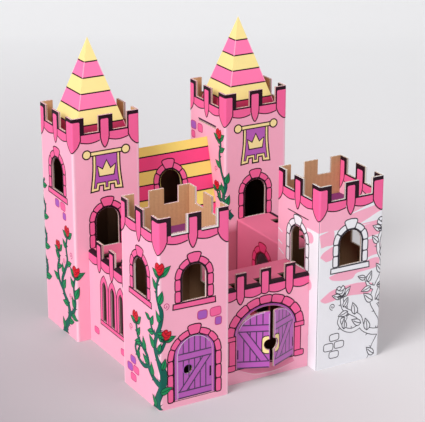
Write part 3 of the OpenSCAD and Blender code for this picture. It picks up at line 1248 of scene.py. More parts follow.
# %% Print the front left tower
FRONT, RIGHT, BACK, LEFT = (TOWER_W * (face + 0.5) for face in (0, 1, 2, -1))
DOOR_HALF, DOOR_FOOT, DOOR_SPRING = 25.5, 10.0, 69.5
DOOR_REVEAL = 3.0
DOOR_STONES = {"jambs": 3, "ring": 3, "key": 0.22}
DOOR_STONES_FOOT, DOOR_STONES_SPRING = DOOR_FOOT - 2.0, DOOR_SPRING - 4.0
STEP_DROP, DOOR_STEP_LINE = 1.3, 0.8
CLEAR = 0.5
NOTCH_MARGIN, NOTCH_MARGIN_LINE = 2.3, 1.7
LOCK_DROP, LOCK_HALF = 51.9, 25.0
FRONT_LEFT_BRICKS = [
    (61.5, 120, 14, 12, "lilac"), (80.5, 120.5, 16, 12, "stone_pink"), (84.5, 107, 9.5, 11, "lilac"),
    (-72, 43, 15, 10, "lilac"), (-81, 30, 15, 11, "lilac"), (-64, 31, 15, 10, "stone_pink"),
    (-72, 18, 15, 10, "stone_pink"),
]


def tower_job(node, slot="pink_board"):
    return Printing("print_" + node, "castle", slot, round_tower(node), TOWER_CREASES)


def openings(job, top, windows, doorways, lock, inks):
    """The surrounds of a tower's openings, and the line over the slot that locks its floor."""
    for mid in windows:
        window(job, mid, top, inks)
    for mid in doorways:
        doorway(job, mid, inks)
    slot = top - LOCK_DROP
    job.ribbon([(lock - LOCK_HALF, slot), (lock + LOCK_HALF, slot)], STONE_LINE, "line", RULE)


def notch_margins(job, top):
    """White margins beside the front notches."""
    notch = top - NOTCH_DEPTH
    for left in (CORNER_MERLON, CORNER_MERLON + NOTCH_W + MIDDLE_MERLON):
        right = left + NOTCH_W
        for margin, colour, layer in ((NOTCH_MARGIN + NOTCH_MARGIN_LINE, "line", CREST), (NOTCH_MARGIN, "notch_white", CREST_LINE)):
            job.fill(rectangle(right, right + margin, notch - margin, top - HAIR), colour, layer)
            job.fill(rectangle(left, right, notch - margin, notch - HAIR), colour, layer)


def door_surround(job, mid):
    """A purple margin round the cut-out door, and stones round that."""
    reveal = DOOR_HALF + DOOR_REVEAL
    outer = arch_line(mid, DOOR_FOOT, DOOR_SPRING, reveal, reveal)
    inner = arch_line(mid, DOOR_FOOT, DOOR_SPRING, DOOR_HALF + CLEAR, DOOR_HALF + CLEAR)
    job.strip(outer, inner, "purple", RULE)
    surround(job, mid, DOOR_STONES_FOOT, DOOR_STONES_SPRING, reveal, COLOURED, **DOOR_STONES)
    step = DOOR_FOOT - STEP_DROP
    job.ribbon([(mid - reveal, step), (mid + reveal, step)], DOOR_STEP_LINE, "line", RULE)


job = tower_job("tower_front_left")
tower_rim(job, FRONT_H)
notch_margins(job, FRONT_H)
openings(job, FRONT_H, (FRONT, LEFT), (RIGHT, BACK), RIGHT, COLOURED)
door_surround(job, FRONT)
grow(job, 0, TALL_CLIMBER, PLANT)
bricks(job, FRONT_LEFT_BRICKS)
job.fold()

# %% [markdown]
# ## Back towers
# The two back towers are alike but for their sides: windows face out and back, the floor's lock faces
# in, and in front, under a banner, a doorway opens onto a side deck. One print could be mirrored, but
# then the black edges of the merlons would change sides. So a function draws what both share, and each
# adds its own plants and bricks.

# %% Print the back towers
WALL_FOOT_BRICKS = [(236, 60, 15, 11, "lilac"), (254, 60, 15, 11, "stone_pink"), (245, 47, 15, 11, "lilac")]
BACK_LEFT_BRICKS = [
    (-53, 188, 13, 11, "lilac"), (-35, 188, 15, 11, "stone_pink"), (-31, 175, 10, 10, "lilac"),
]
BACK_RIGHT_BRICKS = [
    (-89, 254, 15, 12, "lilac"), (-70, 254, 14, 12, "stone_pink"), (-90, 240, 10, 10, "stone_pink"),
    (153, 188, 13, 11, "lilac"), (171, 188, 15, 11, "stone_pink"), (166, 175, 10, 10, "lilac"),
]


def back_tower(node, outer, inner):
    """What both back towers share."""
    job = tower_job(node)
    tower_rim(job, BACK_H)
    openings(job, BACK_H, (outer, BACK), (FRONT,), inner, COLOURED)
    banner(job, FRONT, BACK_H)
    return job


job = back_tower("tower_back_left", LEFT, RIGHT)
grow(job, -34, SHORT_CLIMBER, PLANT)
corner_vine(job, -98, 58, 212, PLANT)
bricks(job, BACK_LEFT_BRICKS + WALL_FOOT_BRICKS)
job.fold()

job = back_tower("tower_back_right", RIGHT, LEFT)
grow(job, -10, DECK_SPRAY, PLANT)
grow(job, 136, SHORT_CLIMBER, PLANT)
bricks(job, BACK_RIGHT_BRICKS + WALL_FOOT_BRICKS)
job.fold()

# %% [markdown]
# ## The tower that is left to colour
# The front right tower is white with pen outlines. Someone has begun to colour it: the rim is pink, the
# side towards the gate is filled nearly to the corner, and broad strokes run over the upper front.
# Noise could break up a field of pink, but strokes have a hand's rhythm, so each is a smooth loop
# through a few points. Short felt-tip dabs are long pills, and thin white ones are gaps left by the
# tip.

# %% Print the front right tower
STROKES = [
    [(0.8, 191), (8, 193.5), (22, 196), (24, 186), (22, 176), (12, 175.5), (4, 174.5), (0.6, 180)],
    [(3, 161), (7, 166.5), (14, 170), (23, 173), (24, 163), (22, 155.5), (12, 153.5), (5, 155)],
    [(70, 193), (84, 195), (95, 197), (97, 189), (95, 178.5), (86, 177), (72, 175.5), (68, 184)],
    [(72, 171), (84, 172.5), (95, 174), (97.5, 164), (96, 151), (86, 149), (73, 147.5), (70, 160)],
    [(18, 131.5), (21, 126.5), (28, 124), (43, 121.5), (55, 122.5), (61, 128.5), (77, 129.5), (92, 131),
     (97, 137), (95, 144), (84, 144.5), (70, 141), (50, 138), (28, 136)],
    [(4.6, 101), (9, 96.5), (17, 95), (47, 98.5), (80, 95.5), (88.5, 101), (86, 109), (68, 113.5), (50, 114),
     (30, 112.5), (19, 110), (9, 106)],
]
GAPS = [
    [(47, 213), (66, 218.5), (82, 224), (88, 223), (86, 219), (70, 214.5)],
    [(63, 196.5), (78, 203), (90, 208), (99.2, 209.5), (99.5, 201), (90, 197.5), (72, 193.5)],
    [(-20, 192.5), (-10, 194.5), (0, 195), (15, 195.6), (1, 192), (-8, 190)],
]
DABS = [((-28, 182), (-20, 183), 15), ((-32, 116), (-23, 117), 17)]
MISSES = [((-98, 172), (-88, 169), 1.6), ((-97, 155), (-88, 152), 1.6), ((-95, 143), (-84, 139), 1.6)]
PEN_BRICKS = [
    (28, 43, 15, 10, "white"), (19, 30, 15, 11, "white"), (36, 31, 15, 10, "white"),
    (28, 18, 15, 10, "white"), (128, 120, 14, 11, "white"), (147, 120, 16, 11, "white"),
    (142, 107, 10, 10, "white"),
]
GROUND_GAP = 0.5
OPENING_GAP = 0.6
# The drawing's width of a side: the measured one without its rounding noise.
SIDE = round(TOWER_W, 3)
FILL_TOP, FILL_EDGE = FRONT_H - 34.0, -28.0
FRONT_FILL_FOOT, FRONT_FILL_END = 195.0, SIDE - 1.0
CREASE_GREY_TOP, CREASE_GREY_WIDTH = FRONT_H - 48.0, 1.1


def felt_tip(job, start, stop, width, colour, layer):
    """A stroke with round ends."""
    (u, v), (u2, v2) = start, stop
    aim = math.atan2(v2 - v, u2 - u)
    far = arc(u2, v2, width / 2, width / 2, aim - math.pi / 2, aim + math.pi / 2, 10)
    near = arc(u, v, width / 2, width / 2, aim + math.pi / 2, aim + math.pi * 3 / 2, 10)
    job.fill(far + near, colour, layer)


def filled_side(job):
    """The pink side towards the gate, left open at its doorway, and the pink under the front's rim."""
    start, half = HAIR - SIDE, ARCH_HALF + OPENING_GAP
    left, right, arch_top = LEFT - half, LEFT + half, DOORWAY_SPRING + half
    for sides in ((start, FILL_EDGE, GROUND_GAP, DECK), (start, left, DECK, FILL_TOP),
                  (right, FILL_EDGE, DECK, FILL_TOP), (left, right, arch_top, FILL_TOP),
                  (FILL_EDGE, FRONT_FILL_END, FRONT_FILL_FOOT, FILL_TOP)):
        job.fill(rectangle(*sides), "wall_pink", WASH)


job = tower_job("tower_front_right", "uncoloured_board")
tower_rim(job, FRONT_H)
openings(job, FRONT_H, (FRONT, RIGHT), (LEFT, BACK), LEFT, UNCOLOURED)
grow(job, SIDE, TALL_CLIMBER, PEN_PLANT)
bricks(job, PEN_BRICKS, "pen")
filled_side(job)
for dab in DABS:
    felt_tip(job, *dab, "wall_pink", WASH)
for miss in MISSES:
    felt_tip(job, *miss, "white", RULE)
for outline in STROKES:
    job.fill(loop(outline, 4), "wall_pink", WASH)
for outline in GAPS:
    job.fill(loop(outline, 4), "white", RULE)
# A grey line up the front left crease.
job.ribbon([(0, GROUND_GAP), (0, CREASE_GREY_TOP)], CREASE_GREY_WIDTH, "pencil", FORM)
job.fold()

# %% [markdown]
# ## Print inside the rims
# A tower's sheet ends in a panel that is turned in behind the right wall. In the front right tower it
# shows a coloured rim. In the back right one it is pink, with black painted at the corner as its shade.
# A second layer of board would leave no room for the floor, so just its print is laid on the wall's
# inner side, above the floor where it can be seen.

# %% Print the turned-in panels
INNER_W = TOWER_W - 2 * BOARD
INNER_CORNER = CORNER_MERLON - BOARD
SHIELD_EDGE = 10.4
INNER_EDGES = (3.0, 4.0, 6.0)


def inner_panel(name, tower):
    """A job on the inner side of a tower's right wall; u runs from the back to the front."""
    corner = ground(tower) + Vector((INNER_W / 2, INNER_W / 2, 0))
    return Printing(name, "castle", "pink_board", panel(corner, (0, -1, 0)))


job = inner_panel("print_turned_in_panel", "tower_front_right")
notch = FRONT_H - NOTCH_DEPTH
mid_start = INNER_CORNER + NOTCH_W
mid_end = mid_start + MIDDLE_MERLON
front_start = mid_end + NOTCH_W
job.fill(rectangle(HAIR, INNER_W - HAIR, top_of("floor_front_right"), notch - HAIR), "wall_pink", WASH)
for left, right in ((HAIR, INNER_CORNER), (mid_start, mid_end), (front_start, INNER_W - HAIR)):
    job.fill(rectangle(left, right, notch - HAIR, FRONT_H - HAIR), "line", OVER)
for left, right in ((INNER_CORNER, mid_start), (mid_end, front_start)):
    band(job, left - EDGE_RIGHT, right + EDGE_LEFT, notch)
edge_left, edge_right, edge_top = INNER_EDGES
tongue(job, mid_start + edge_left, mid_end - edge_right, notch, FRONT_H - edge_top, TONGUE)
shield = spline([(4, notch - 20), (9, notch - 10), (SHIELD_EDGE, notch - 2)], 4)
shield = [(2 * HAIR, FRONT_H - 5), (2 * HAIR, notch - 25)] + shield
job.shape(shield + [(SHIELD_EDGE, FRONT_H - edge_top), (9, FRONT_H - 5)], *COLOURED, TOP)
job.fold()

job = inner_panel("print_flap_with_shade", "tower_back_right")
notch = BACK_H - NOTCH_DEPTH
flap = (INNER_W - INNER_CORNER, INNER_W - HAIR)
job.fill(rectangle(*flap, top_of("floor_back_right") + HAIR, notch), "wall_pink", WASH)
# Black painted above the notch, as the shade in this corner.
job.fill(rectangle(*flap, notch, BACK_H - HAIR), "line", WASH)
job.fold()

# %% [markdown]
# ## Where a rampart's print goes
# A rampart's merlons are cut out of its deck and left standing in the wall's plane, and the black edge
# between them runs on over the crease onto the deck. One print could be bent over the whole sheet, but
# most of it stays on a wall. So each wall gets a plane, and only a narrow strip is bent over the
# crease.

# %% Place print on a rampart
TAB_REACH = 8.0
PLAY = 0.3
EDGE_ARC = CREASE * math.pi / 2
EDGE_STEPS = 8
EDGE_CREASES = [EDGE_ARC * step / EDGE_STEPS for step in range(1, EDGE_STEPS + 1)]


def wall_span(node, axis):
    """A wall's length between its towers, without the tabs that go into them."""
    return size(node, axis) - 2 * (TAB_REACH + BOARD + PLAY)


def rampart_panels(node, turn):
    """A wall's length, and places for print outside, in the yard and over the crease."""
    foot = ground(node)
    span = wall_span(node, 0 if turn % 180 == 0 else 1)
    spots = []
    for facing in (turn, turn + 180):
        corner = turned((-span / 2, -RAMPART_HALF, 0), facing) + foot
        spots.append(panel(corner, turned((1, 0, 0), facing)))

    def over_edge(u, v, h):
        bend = min(u, EDGE_ARC) / CREASE
        reach = CREASE + h
        y = CREASE - RAMPART_HALF - reach * math.cos(bend) + max(u - EDGE_ARC, 0)
        z = DECK - CREASE + reach * math.sin(bend)
        return turned((span / 2 - v, y, z), turn) + foot

    return span, *spots, over_edge


print(f"side walls {wall_span('rampart_left', 1):.0f} long, gatehouse {wall_span('gatehouse', 0):.0f}")

# %% [markdown]
# ## Parts of a rampart
# A rampart's rim has three merlons with long tongues. A side wall also has a trio of arrow slits, each
# in a pointed surround, on one sill. A pointed head could be typed point by point, but it is two arcs,
# each about the other's springing point, and drawn that way it keeps its form at any width.

# %% Draw the parts of a rampart
MERLON_W = 16.0
MERLON_PITCH = 37.0
MERLON_EDGES = (1.2, 3.4, 3.2)
MERLON_ROOT = 3.0
RIM_DROP, RIM_OVERLAP = 1.6, 2.6
LONG_TONGUE, SHORT_TONGUE = (23.0, 13.0), (15.0, 12.5)
DECK_EDGE = 4.5
TRIM = 0.2
SLIT_HALF, SLIT_FOOT, SLIT_TOP = 4.5, 43.0, 100.0
SLIT_PITCH = 24.5
SLIT_STONE, SLIT_GAP = 11.0, 0.4
SLIT_LINE, SLIT_LINE_SIDE, SLIT_LINE_TOP = 1.4, 0.9, 1.2
SLIT_SILL = 6.0


def merlon_mids(span):
    return [span / 2 + i * MERLON_PITCH for i in (-1, 0, 1)]


def between_merlons(span):
    """The stretches of a wall's top that carry no merlon."""
    ends = [mid + side * MERLON_W / 2 for mid in merlon_mids(span) for side in (-1, 1)]
    ends = [TRIM] + ends + [span - TRIM]
    return list(zip(ends[::2], ends[1::2]))


def rampart_rim(job, span, middle_tongue=LONG_TONGUE):
    edge_left, edge_right, edge_top = MERLON_EDGES
    for mid, form in zip(merlon_mids(span), (LONG_TONGUE, middle_tongue, LONG_TONGUE)):
        left, right, top = mid - MERLON_W / 2, mid + MERLON_W / 2, DECK + MERLON_H
        job.fill(rectangle(left, right, DECK - MERLON_ROOT, top - HAIR), "line", OVER)
        tongue(job, left + edge_left, right - edge_right, DECK, top - edge_top, form)
    for left, right in between_merlons(span):
        start, stop = max(left - RIM_OVERLAP, TRIM), min(right + edge_left, span - TRIM)
        band(job, start, stop, DECK - RIM_DROP)


def deck_edge(job, span):
    for left, right in between_merlons(span):
        job.fill(rectangle(0, EDGE_ARC + DECK_EDGE, left, right), "line", WASH)


def lancet_line(mid, half, top):
    """A pointed arch whose sides are arcs about the opposite springing point."""
    spring = top - 2 * half * math.sin(math.pi / 3)
    left = arc(mid + half, spring, 2 * half, 2 * half, math.pi, math.pi * 2 / 3, 8)
    right = [(2 * mid - u, v) for u, v in left[-2::-1]]
    return [(mid - half, SLIT_FOOT)] + left + right + [(mid + half, SLIT_FOOT)]


def arrow_slits(job, span):
    for i in (-1, 0, 1):
        mid = span / 2 + i * SLIT_PITCH
        outer = lancet_line(mid, SLIT_PITCH / 2 - SLIT_GAP, SLIT_TOP + SLIT_STONE)
        job.strip(outer, lancet_line(mid, SLIT_HALF + TRIM, SLIT_TOP + TRIM), "stone_pink", FORM)
        job.ribbon(outer, FINE_LINE, "line", FORM_LINE)
        inner = lancet_line(mid, SLIT_HALF + SLIT_LINE_SIDE, SLIT_TOP + SLIT_LINE_TOP)
        job.ribbon(inner, SLIT_LINE, "line", FORM_LINE)
    reach = 1.5 * SLIT_PITCH
    sill = rectangle(span / 2 - reach, span / 2 + reach, SLIT_FOOT - SLIT_SILL, SLIT_FOOT)
    job.shape(sill, *COLOURED, OVER)


print("slits are", 2 * SLIT_HALF, "wide")

# %% [markdown]
# ## Side ramparts
# Each side rampart has slits and a few bricks outside, the black edge on its deck, and an arched
# opening towards the yard with stones painted a deeper pink, as shade. The right one could be a
# mirrored copy of the left one's print, but it is the same sheet, turned round, so a loop prints both.

# %% Print the side ramparts
YARD_ARCH_FOOT, YARD_ARCH_SPRING = 10.0, 88.0
SHADED_YARD_STONES = ("yard_stone", "deep_red")
CORNER_INSET, CORNER_LINE = 0.8, 1.2

for name, turn in (("rampart_left", -90), ("rampart_right", 90)):
    span, outside, inside, above = rampart_panels(name, turn)
    job = Printing("print_" + name, "castle", "pink_board", outside)
    rampart_rim(job, span)
    arrow_slits(job, span)
    bricks(job, [(20, 22, 14, 9, "stone_pink"), (span - 24, 24, 14, 9, "lilac"),
                 (span - 40, 20, 14, 9, "stone_pink")])
    job.fold()
    job = Printing("print_" + name + "_deck", "castle", "pink_board", above, EDGE_CREASES)
    deck_edge(job, span)
    job.fold()
    job = Printing("print_" + name + "_yard", "castle", "pink_board", inside)
    # The stones towards the yard are painted a deeper pink, as shade.
    surround(job, span / 2, YARD_ARCH_FOOT, YARD_ARCH_SPRING, ARCH_HALF, SHADED_YARD_STONES, jambs=5)
    for u in (CORNER_INSET, span - CORNER_INSET):
        job.ribbon([(u, GROUND_GAP), (u, DECK - CREASE)], CORNER_LINE, "line", RULE)
    job.fold()

# %% [markdown]
# ## Gatehouse
# The gate has a flattened arch of nine stones on two short columns. The printed gate is a little larger
# than the cut-out leaves, so a purple margin is left on the wall round them. Under it a shadow of the
# leaves is painted on the wall: a darker patch with a pale line along its lower edge. A texture would
# spread everywhere, so the patch is drawn where it is, as one shape and one swelling line.

# %% Print the gatehouse
GATE_HALF, GATE_FOOT, GATE_SPRING, GATE_RISE = 43.5, 21.0, 66.0, 35.0
GATE_REVEAL = 3.6
GATE_STEPS = 36
GATE_STONES, GATE_STONE = 9, 11.5
COLUMN_W, COLUMN_GAP, CAP_OVERHANG = 10.0, 1.4, 5.0
SHAFT = (GATE_FOOT + 5.0, GATE_SPRING - 2.0)
CAP = (GATE_SPRING - 4.5, GATE_SPRING + 2.0)
BASE_MIDDLE, BASE_H = GATE_FOOT + 2.0, 8.5
STEP_OVERHANG = 2.0
SHADOW_FOOT = [(-37, 16.5), (-18, 8), (0, 5.5), (20, 6), (46, 11.5)]
SHADOW_TOP = [(43, GATE_FOOT - 2.1), (-38, GATE_FOOT - 2.1)]
PALE_FOOT_TIP, PALE_FOOT_MIDDLE = 0.3, 1.3


def column(job, mid, side):
    near = mid + side * (GATE_HALF + COLUMN_GAP)
    shaft = sorted((near, near + side * COLUMN_W))
    cap = sorted((near, near + side * (COLUMN_W + CAP_OVERHANG)))
    job.shape(rectangle(*shaft, *SHAFT), *COLOURED, FORM)
    job.shape(rectangle(*cap, *CAP), *COLOURED, OVER)
    job.shape(block(sum(cap) / 2, BASE_MIDDLE, cap[1] - cap[0], BASE_H), *COLOURED, OVER)


def gate_surround(job, mid):
    half, rise = GATE_HALF + GATE_REVEAL, GATE_RISE + GATE_REVEAL
    outer = arch_line(mid, GATE_FOOT, GATE_SPRING, half, rise, GATE_STEPS)
    inner = arch_line(mid, GATE_FOOT, GATE_SPRING, GATE_HALF + CLEAR, GATE_RISE + CLEAR, GATE_STEPS)
    job.strip(outer, inner, "purple", WASH)
    job.ribbon(outer, STONE_LINE, "line", RULE)
    step = math.pi / GATE_STONES
    stones(job, [wedge(mid, GATE_SPRING, half + CLEAR, rise + CLEAR, GATE_STONE, i * step, (i + 1) * step)
                 for i in range(GATE_STONES)], COLOURED)
    for side in (-1, 1):
        column(job, mid, side)
    foot, reach = GATE_FOOT - STEP_DROP, GATE_HALF + STEP_OVERHANG
    job.ribbon([(mid - reach, foot), (mid + reach, foot)], STONE_LINE, "line", RULE)


# A painted shadow of the leaves on the wall, with a pale line along its lower edge.
def leaves_shadow_patch(job, mid):
    shadow_line = spline(moved(SHADOW_FOOT, mid, 0), 6)
    job.fill(shadow_line + moved(SHADOW_TOP, mid, 0), "leaf_shadow_pink", WASH)
    job.ribbon(shadow_line, lambda way: PALE_FOOT_TIP + PALE_FOOT_MIDDLE * math.sin(math.pi * way), "scuff", RULE)


span, outside, _, above = rampart_panels("gatehouse", 0)
job = Printing("print_gatehouse", "castle", "pink_board", outside)
rampart_rim(job, span, SHORT_TONGUE)
gate_surround(job, span / 2)
leaves_shadow_patch(job, span / 2)
job.fold()
job = Printing("print_gatehouse_deck", "castle", "pink_board", above, EDGE_CREASES)
deck_edge(job, span)
job.fold()

# %% [markdown]
# ## Planks
# The gate's leaves and the tower's door are printed as purple planks with two rails and a slanting
# brace. Real planks would be boards with gaps, but these are lines on one flat leaf. Each line stops
# where the leaf's arched outline is, so a door says how high it is at a place and how wide at a height.

# %% Draw planks and braces
MARGIN = 1.1
RAIL, RAIL_FOOT, RAIL_GAP = 9.0, 1.2, 1.0
PLANK_HALF, PLANK_GAP = 0.6, 0.8
PLANK_LINE, RAIL_LINE = 1.5, 1.6
BRACE = 11.0
CUT_LINE = 0.7


def planks(job, top_at, run_at, foot, rail, pitch):
    """Plank lines under an arched top, with a rail across and one at the foot."""
    left, right = run_at(foot)
    count = round((right - left) / pitch)
    for i in range(1, count):
        u = left + (right - left) * i / count
        top = min(top_at(u - PLANK_HALF), top_at(u + PLANK_HALF)) - PLANK_GAP
        job.ribbon([(u, foot + RAIL), (u, rail)], PLANK_LINE, "plank_line", WASH)
        if top > rail + RAIL + RAIL_GAP:
            job.ribbon([(u, rail + RAIL), (u, top)], PLANK_LINE, "plank_line", WASH)
    for v in (foot + RAIL_FOOT, foot + RAIL + RAIL_GAP, rail, rail + RAIL):
        start, stop = run_at(v + PLANK_HALF)
        job.ribbon([(start, v), (stop, v)], RAIL_LINE, "plank_line", OVER)


def brace(job, start, stop):
    """A slanting board from the upper rail down to the lower one."""
    (u, v), (u2, v2) = start, stop
    job.fill([(u, v), (u + BRACE, v), (u2, v2), (u2 - BRACE, v2)], "purple", FORM)
    job.ribbon([(u, v), (u2 - BRACE, v2)], RAIL_LINE, "plank_line", OVER)
    job.ribbon([(u + BRACE, v), (u2, v2)], RAIL_LINE, "plank_line", OVER)


print("rails are", RAIL, "high")

# %% [markdown]
# ## Gate leaves
# The gate's finger hole sits in a gilt plate at the meeting edge, half on each leaf. One plate laid
# over both leaves would tear when they open, so each leaf carries its own half and rides on its own
# body. The knife shows as a pale line along the cut edges, and a short black mark stands at the fold.

# %% Print the gate leaves
HOLE_R = 7.75
HOLE_Z = 54.0
PLATE_HALF_W, PLATE_HALF_H, PLATE_CORNER = 10.4, 12.5, 14.0
PLATE_STEPS, PLATE_LINE = 12, 1.2
CUT_GAP = 0.3
CUT_BELOW_TOP = 3.0
GATE_RAIL, GATE_PLANK = 73.5, 8.6
HINGE_INSET, HINGE_W = 2.4, 1.4
HINGE_MARK = (35, 48)


def latch_plate(job, free, side):
    """Half a gilt plate round the finger hole; side points from the free edge into the leaf."""
    edge = free - side * MARGIN
    outer, inner = [], []
    for c, s in arc(0, 0, 1, 1, math.pi / 2, -math.pi / 2, PLATE_STEPS):
        out = min(1 / max(abs(c) / PLATE_HALF_W, abs(s) / PLATE_HALF_H), PLATE_CORNER)
        for line, reach in ((inner, HOLE_R + CUT_GAP), (outer, out)):
            line.append((edge + side * max(reach * c, MARGIN), HOLE_Z + reach * s))
    left, right = (outer, inner) if side > 0 else (inner, outer)
    job.strip(left, right, "gold", TOP)
    job.ribbon(outer, PLATE_LINE, "line", TOP_LINE)


def pale_cuts(job, middle_u, free, side):
    """The knife's pale line over the arch and down the free edge."""
    half, rise = GATE_HALF - MARGIN, GATE_RISE - MARGIN
    head = arc(middle_u, GATE_SPRING, side * half, rise, math.pi * 0.1, math.pi * 0.45, 14)
    job.ribbon(head, CUT_LINE, "cut_white", CREST)
    low, high = HOLE_Z + PLATE_CORNER, GATE_SPRING + GATE_RISE - CUT_BELOW_TOP
    job.ribbon([(free, low), (free, high)], CUT_LINE, "cut_white", CREST)


def gate_leaf(name, side):
    """One leaf; side is -1 for the left one, whose free edge is on its right."""
    joint_name, body = LEAVES[name]
    place, turn = fold_of(joint_name)
    along = turned((1, 0, 0), math.degrees(turn))
    corner = Vector((place.x, place.y, 0)) - along * (GATE_HALF if side > 0 else 0)
    job = Printing("print_" + name, body, "door_board", panel(corner, along))
    middle_u, free = (0, MARGIN) if side > 0 else (GATE_HALF, GATE_HALF - MARGIN)

    def top_at(u):
        out = min(abs(u - middle_u) / GATE_HALF, 1)
        return GATE_SPRING + GATE_RISE * math.sqrt(1 - out * out)

    def run_at(v):
        lift = max(v - GATE_SPRING, 0) / GATE_RISE
        out = GATE_HALF * math.sqrt(1 - lift * lift) - MARGIN
        return tuple(sorted((free, middle_u + side * out)))

    planks(job, top_at, run_at, GATE_FOOT, GATE_RAIL, GATE_PLANK)
    hinge = middle_u + side * (GATE_HALF - HINGE_INSET)
    shift = BRACE if side > 0 else 0
    brace(job, (hinge - shift, GATE_RAIL - CLEAR), (free + shift, GATE_FOOT + RAIL + RAIL_GAP))
    latch_plate(job, free, side)
    job.fill(rectangle(*sorted((hinge, hinge + side * HINGE_W)), *HINGE_MARK), "line", TOP)
    pale_cuts(job, middle_u, free, side)
    job.fold()


gate_leaf("gate_leaf_left", -1)
gate_leaf("gate_leaf_right", 1)

# %% [markdown]
# ## The tower's door
# The front left tower's door has the same planks under a round head, with a finger hole ringed in
# lilac. It could share the leaves' function, but it is whole where they are halves, so it only shares
# their parts.

# %% Print the tower's door
DOOR_RAIL, DOOR_PLANK = 63.0, 8.4
DOOR_HOLE, DOOR_HOLE_LINE = (16, 49.5, 7.1), 1.0
DOOR_BRACE = (38, 14)
DOOR_MARK = (47.2, 49.4, 33, 47)
DOOR_CUT_POINTS, DOOR_CUT_LINE = 22, 0.8


def door_top(u):
    return DOOR_SPRING + math.sqrt(max(DOOR_HALF ** 2 - (u - DOOR_HALF) ** 2, 0))


def door_run(v):
    out = math.sqrt(DOOR_HALF ** 2 - max(v - DOOR_SPRING, 0) ** 2) - MARGIN
    return DOOR_HALF - out, DOOR_HALF + out


place, _ = fold_of("tower_door_fold")
free_foot = (place.x - 2 * DOOR_HALF, place.y, 0)
job = Printing("print_tower_door", "door", "door_board", panel(free_foot, (1, 0, 0)))
planks(job, door_top, door_run, DOOR_FOOT, DOOR_RAIL, DOOR_PLANK)
brace(job, (DOOR_BRACE[0], DOOR_RAIL), (DOOR_BRACE[1], DOOR_FOOT + RAIL + RAIL_GAP))
job.ribbon(disc(*DOOR_HOLE), DOOR_HOLE_LINE, "lilac", TOP, closed=True)
job.fill(rectangle(*DOOR_MARK), "line", TOP)
cut = arch_line(DOOR_HALF, DOOR_FOOT + RAIL_FOOT, DOOR_SPRING, DOOR_HALF - MARGIN, DOOR_HALF - MARGIN)
job.ribbon(cut[:DOOR_CUT_POINTS], DOOR_CUT_LINE, "cut_white", CREST)
job.fold()

# %% [markdown]
# ## Palace
# The palace roof is striped mustard and pink with dark lines between, and has a dormer opening with a
# stone surround. A stripe formula would run straight over the opening's cut edge, so the stripes are
# strips of ink that stop at it. Mustard is already the board's ink there, so only the pink ones are
# printed.

# %% Print the palace
DORMER_HALF, DORMER_FOOT, DORMER_TOP = 16.0, 150.0, 211.0
DORMER_EXTRA, DORMER_CLEAR = 1.0, 2.0
ROOF_BOUNDS = (247.0, 233.5, 214.5, 195.5, 175.5, 155.5, 135.0)
STRIPE_LINE = 1.8
PALACE_BRICKS = [(40, 84, 15, 11, "lilac"), (58, 84, 15, 11, "stone_pink"), (49, 71, 15, 11, "stone_pink"),
                 (92, 40, 15, 11, "lilac"), (101, 53, 15, 11, "stone_pink")]


def up_slope(z):
    """The way up a roof slope at a height."""
    return (z - DECK) * SLOPE / RIDGE_RISE


def stripe_parts(v_low, v_high, span, opening):
    """Cuts a stripe into parts that leave the dormer open: bottom, top and runs from left to right."""
    whole = ((TRIM, span - TRIM),)
    split = up_slope(DORMER_TOP) + DORMER_CLEAR
    if not opening or v_low >= split:
        return [(v_low, v_high, whole)]
    half = DORMER_HALF + OPENING_GAP
    sides = ((TRIM, span / 2 - half), (span / 2 + half, span - TRIM))
    lower = [(v_low, min(v_high, split), sides)]
    return lower + ([(split, v_high, whole)] if v_high > split else [])


def roof_stripes(job, span, opening):
    for i, (high, low) in enumerate(zip(ROOF_BOUNDS, ROOF_BOUNDS[1:])):
        v_low, v_high = up_slope(low), min(up_slope(high), SLOPE - CUT_GAP)
        for bottom, top, runs in stripe_parts(v_low, v_high, span, opening):
            for left, right in runs:
                if i % 2:
                    job.fill(rectangle(left, right, bottom, top), "roof_pink", WASH)
                if bottom == v_low:
                    job.ribbon([(left, v_low), (right, v_low)], STRIPE_LINE, "line", RULE)


span = wall_span("palace", 0)
for name, turn in (("front", 0), ("back", 180)):
    eave = turned((-span / 2, -RAMPART_HALF, DECK), turn) + ground("palace")
    slope = panel(eave, turned((1, 0, 0), turn), turned((0, RAMPART_HALF, RIDGE_RISE), turn))
    job = Printing("print_palace_roof_" + name, "castle", "roof_board", slope)
    roof_stripes(job, span, name == "front")
    if name == "front":
        rise = DORMER_HALF + DORMER_EXTRA
        surround(job, span / 2, up_slope(DORMER_FOOT), up_slope(DORMER_TOP) - rise, DORMER_HALF + CUT_GAP,
                 COLOURED, jambs=3, rise=rise)
    job.fold()
foot = turned((-span / 2, -RAMPART_HALF, 0), 180) + ground("palace")
job = Printing("print_palace_back", "castle", "pink_board", panel(foot, (-1, 0, 0)))
bricks(job, PALACE_BRICKS)
job.fold()

# %% [markdown]
# ## Spires
# The spires have the roof's stripes in paler inks. The height alone could choose the ink, but the dark
# lines and the pale edges are drawn, so each of the four faces is a print of trapeziums, whose lines
# meet at the edges. The edges are paler along the pink bands, and the lowest pink band, down behind
# the rim where little light comes, is deeper.

# %% Print the spires
SPIRE_CAP, SPIRE_BAND = 31.5, 20.0
SPIRE_BANDS, FOOT_BAND = 6, 4
PALE_EDGE_WIDTH, PALE_EDGE_INSET = 0.9, 0.5
SIDES = ("front", "right", "back", "left")


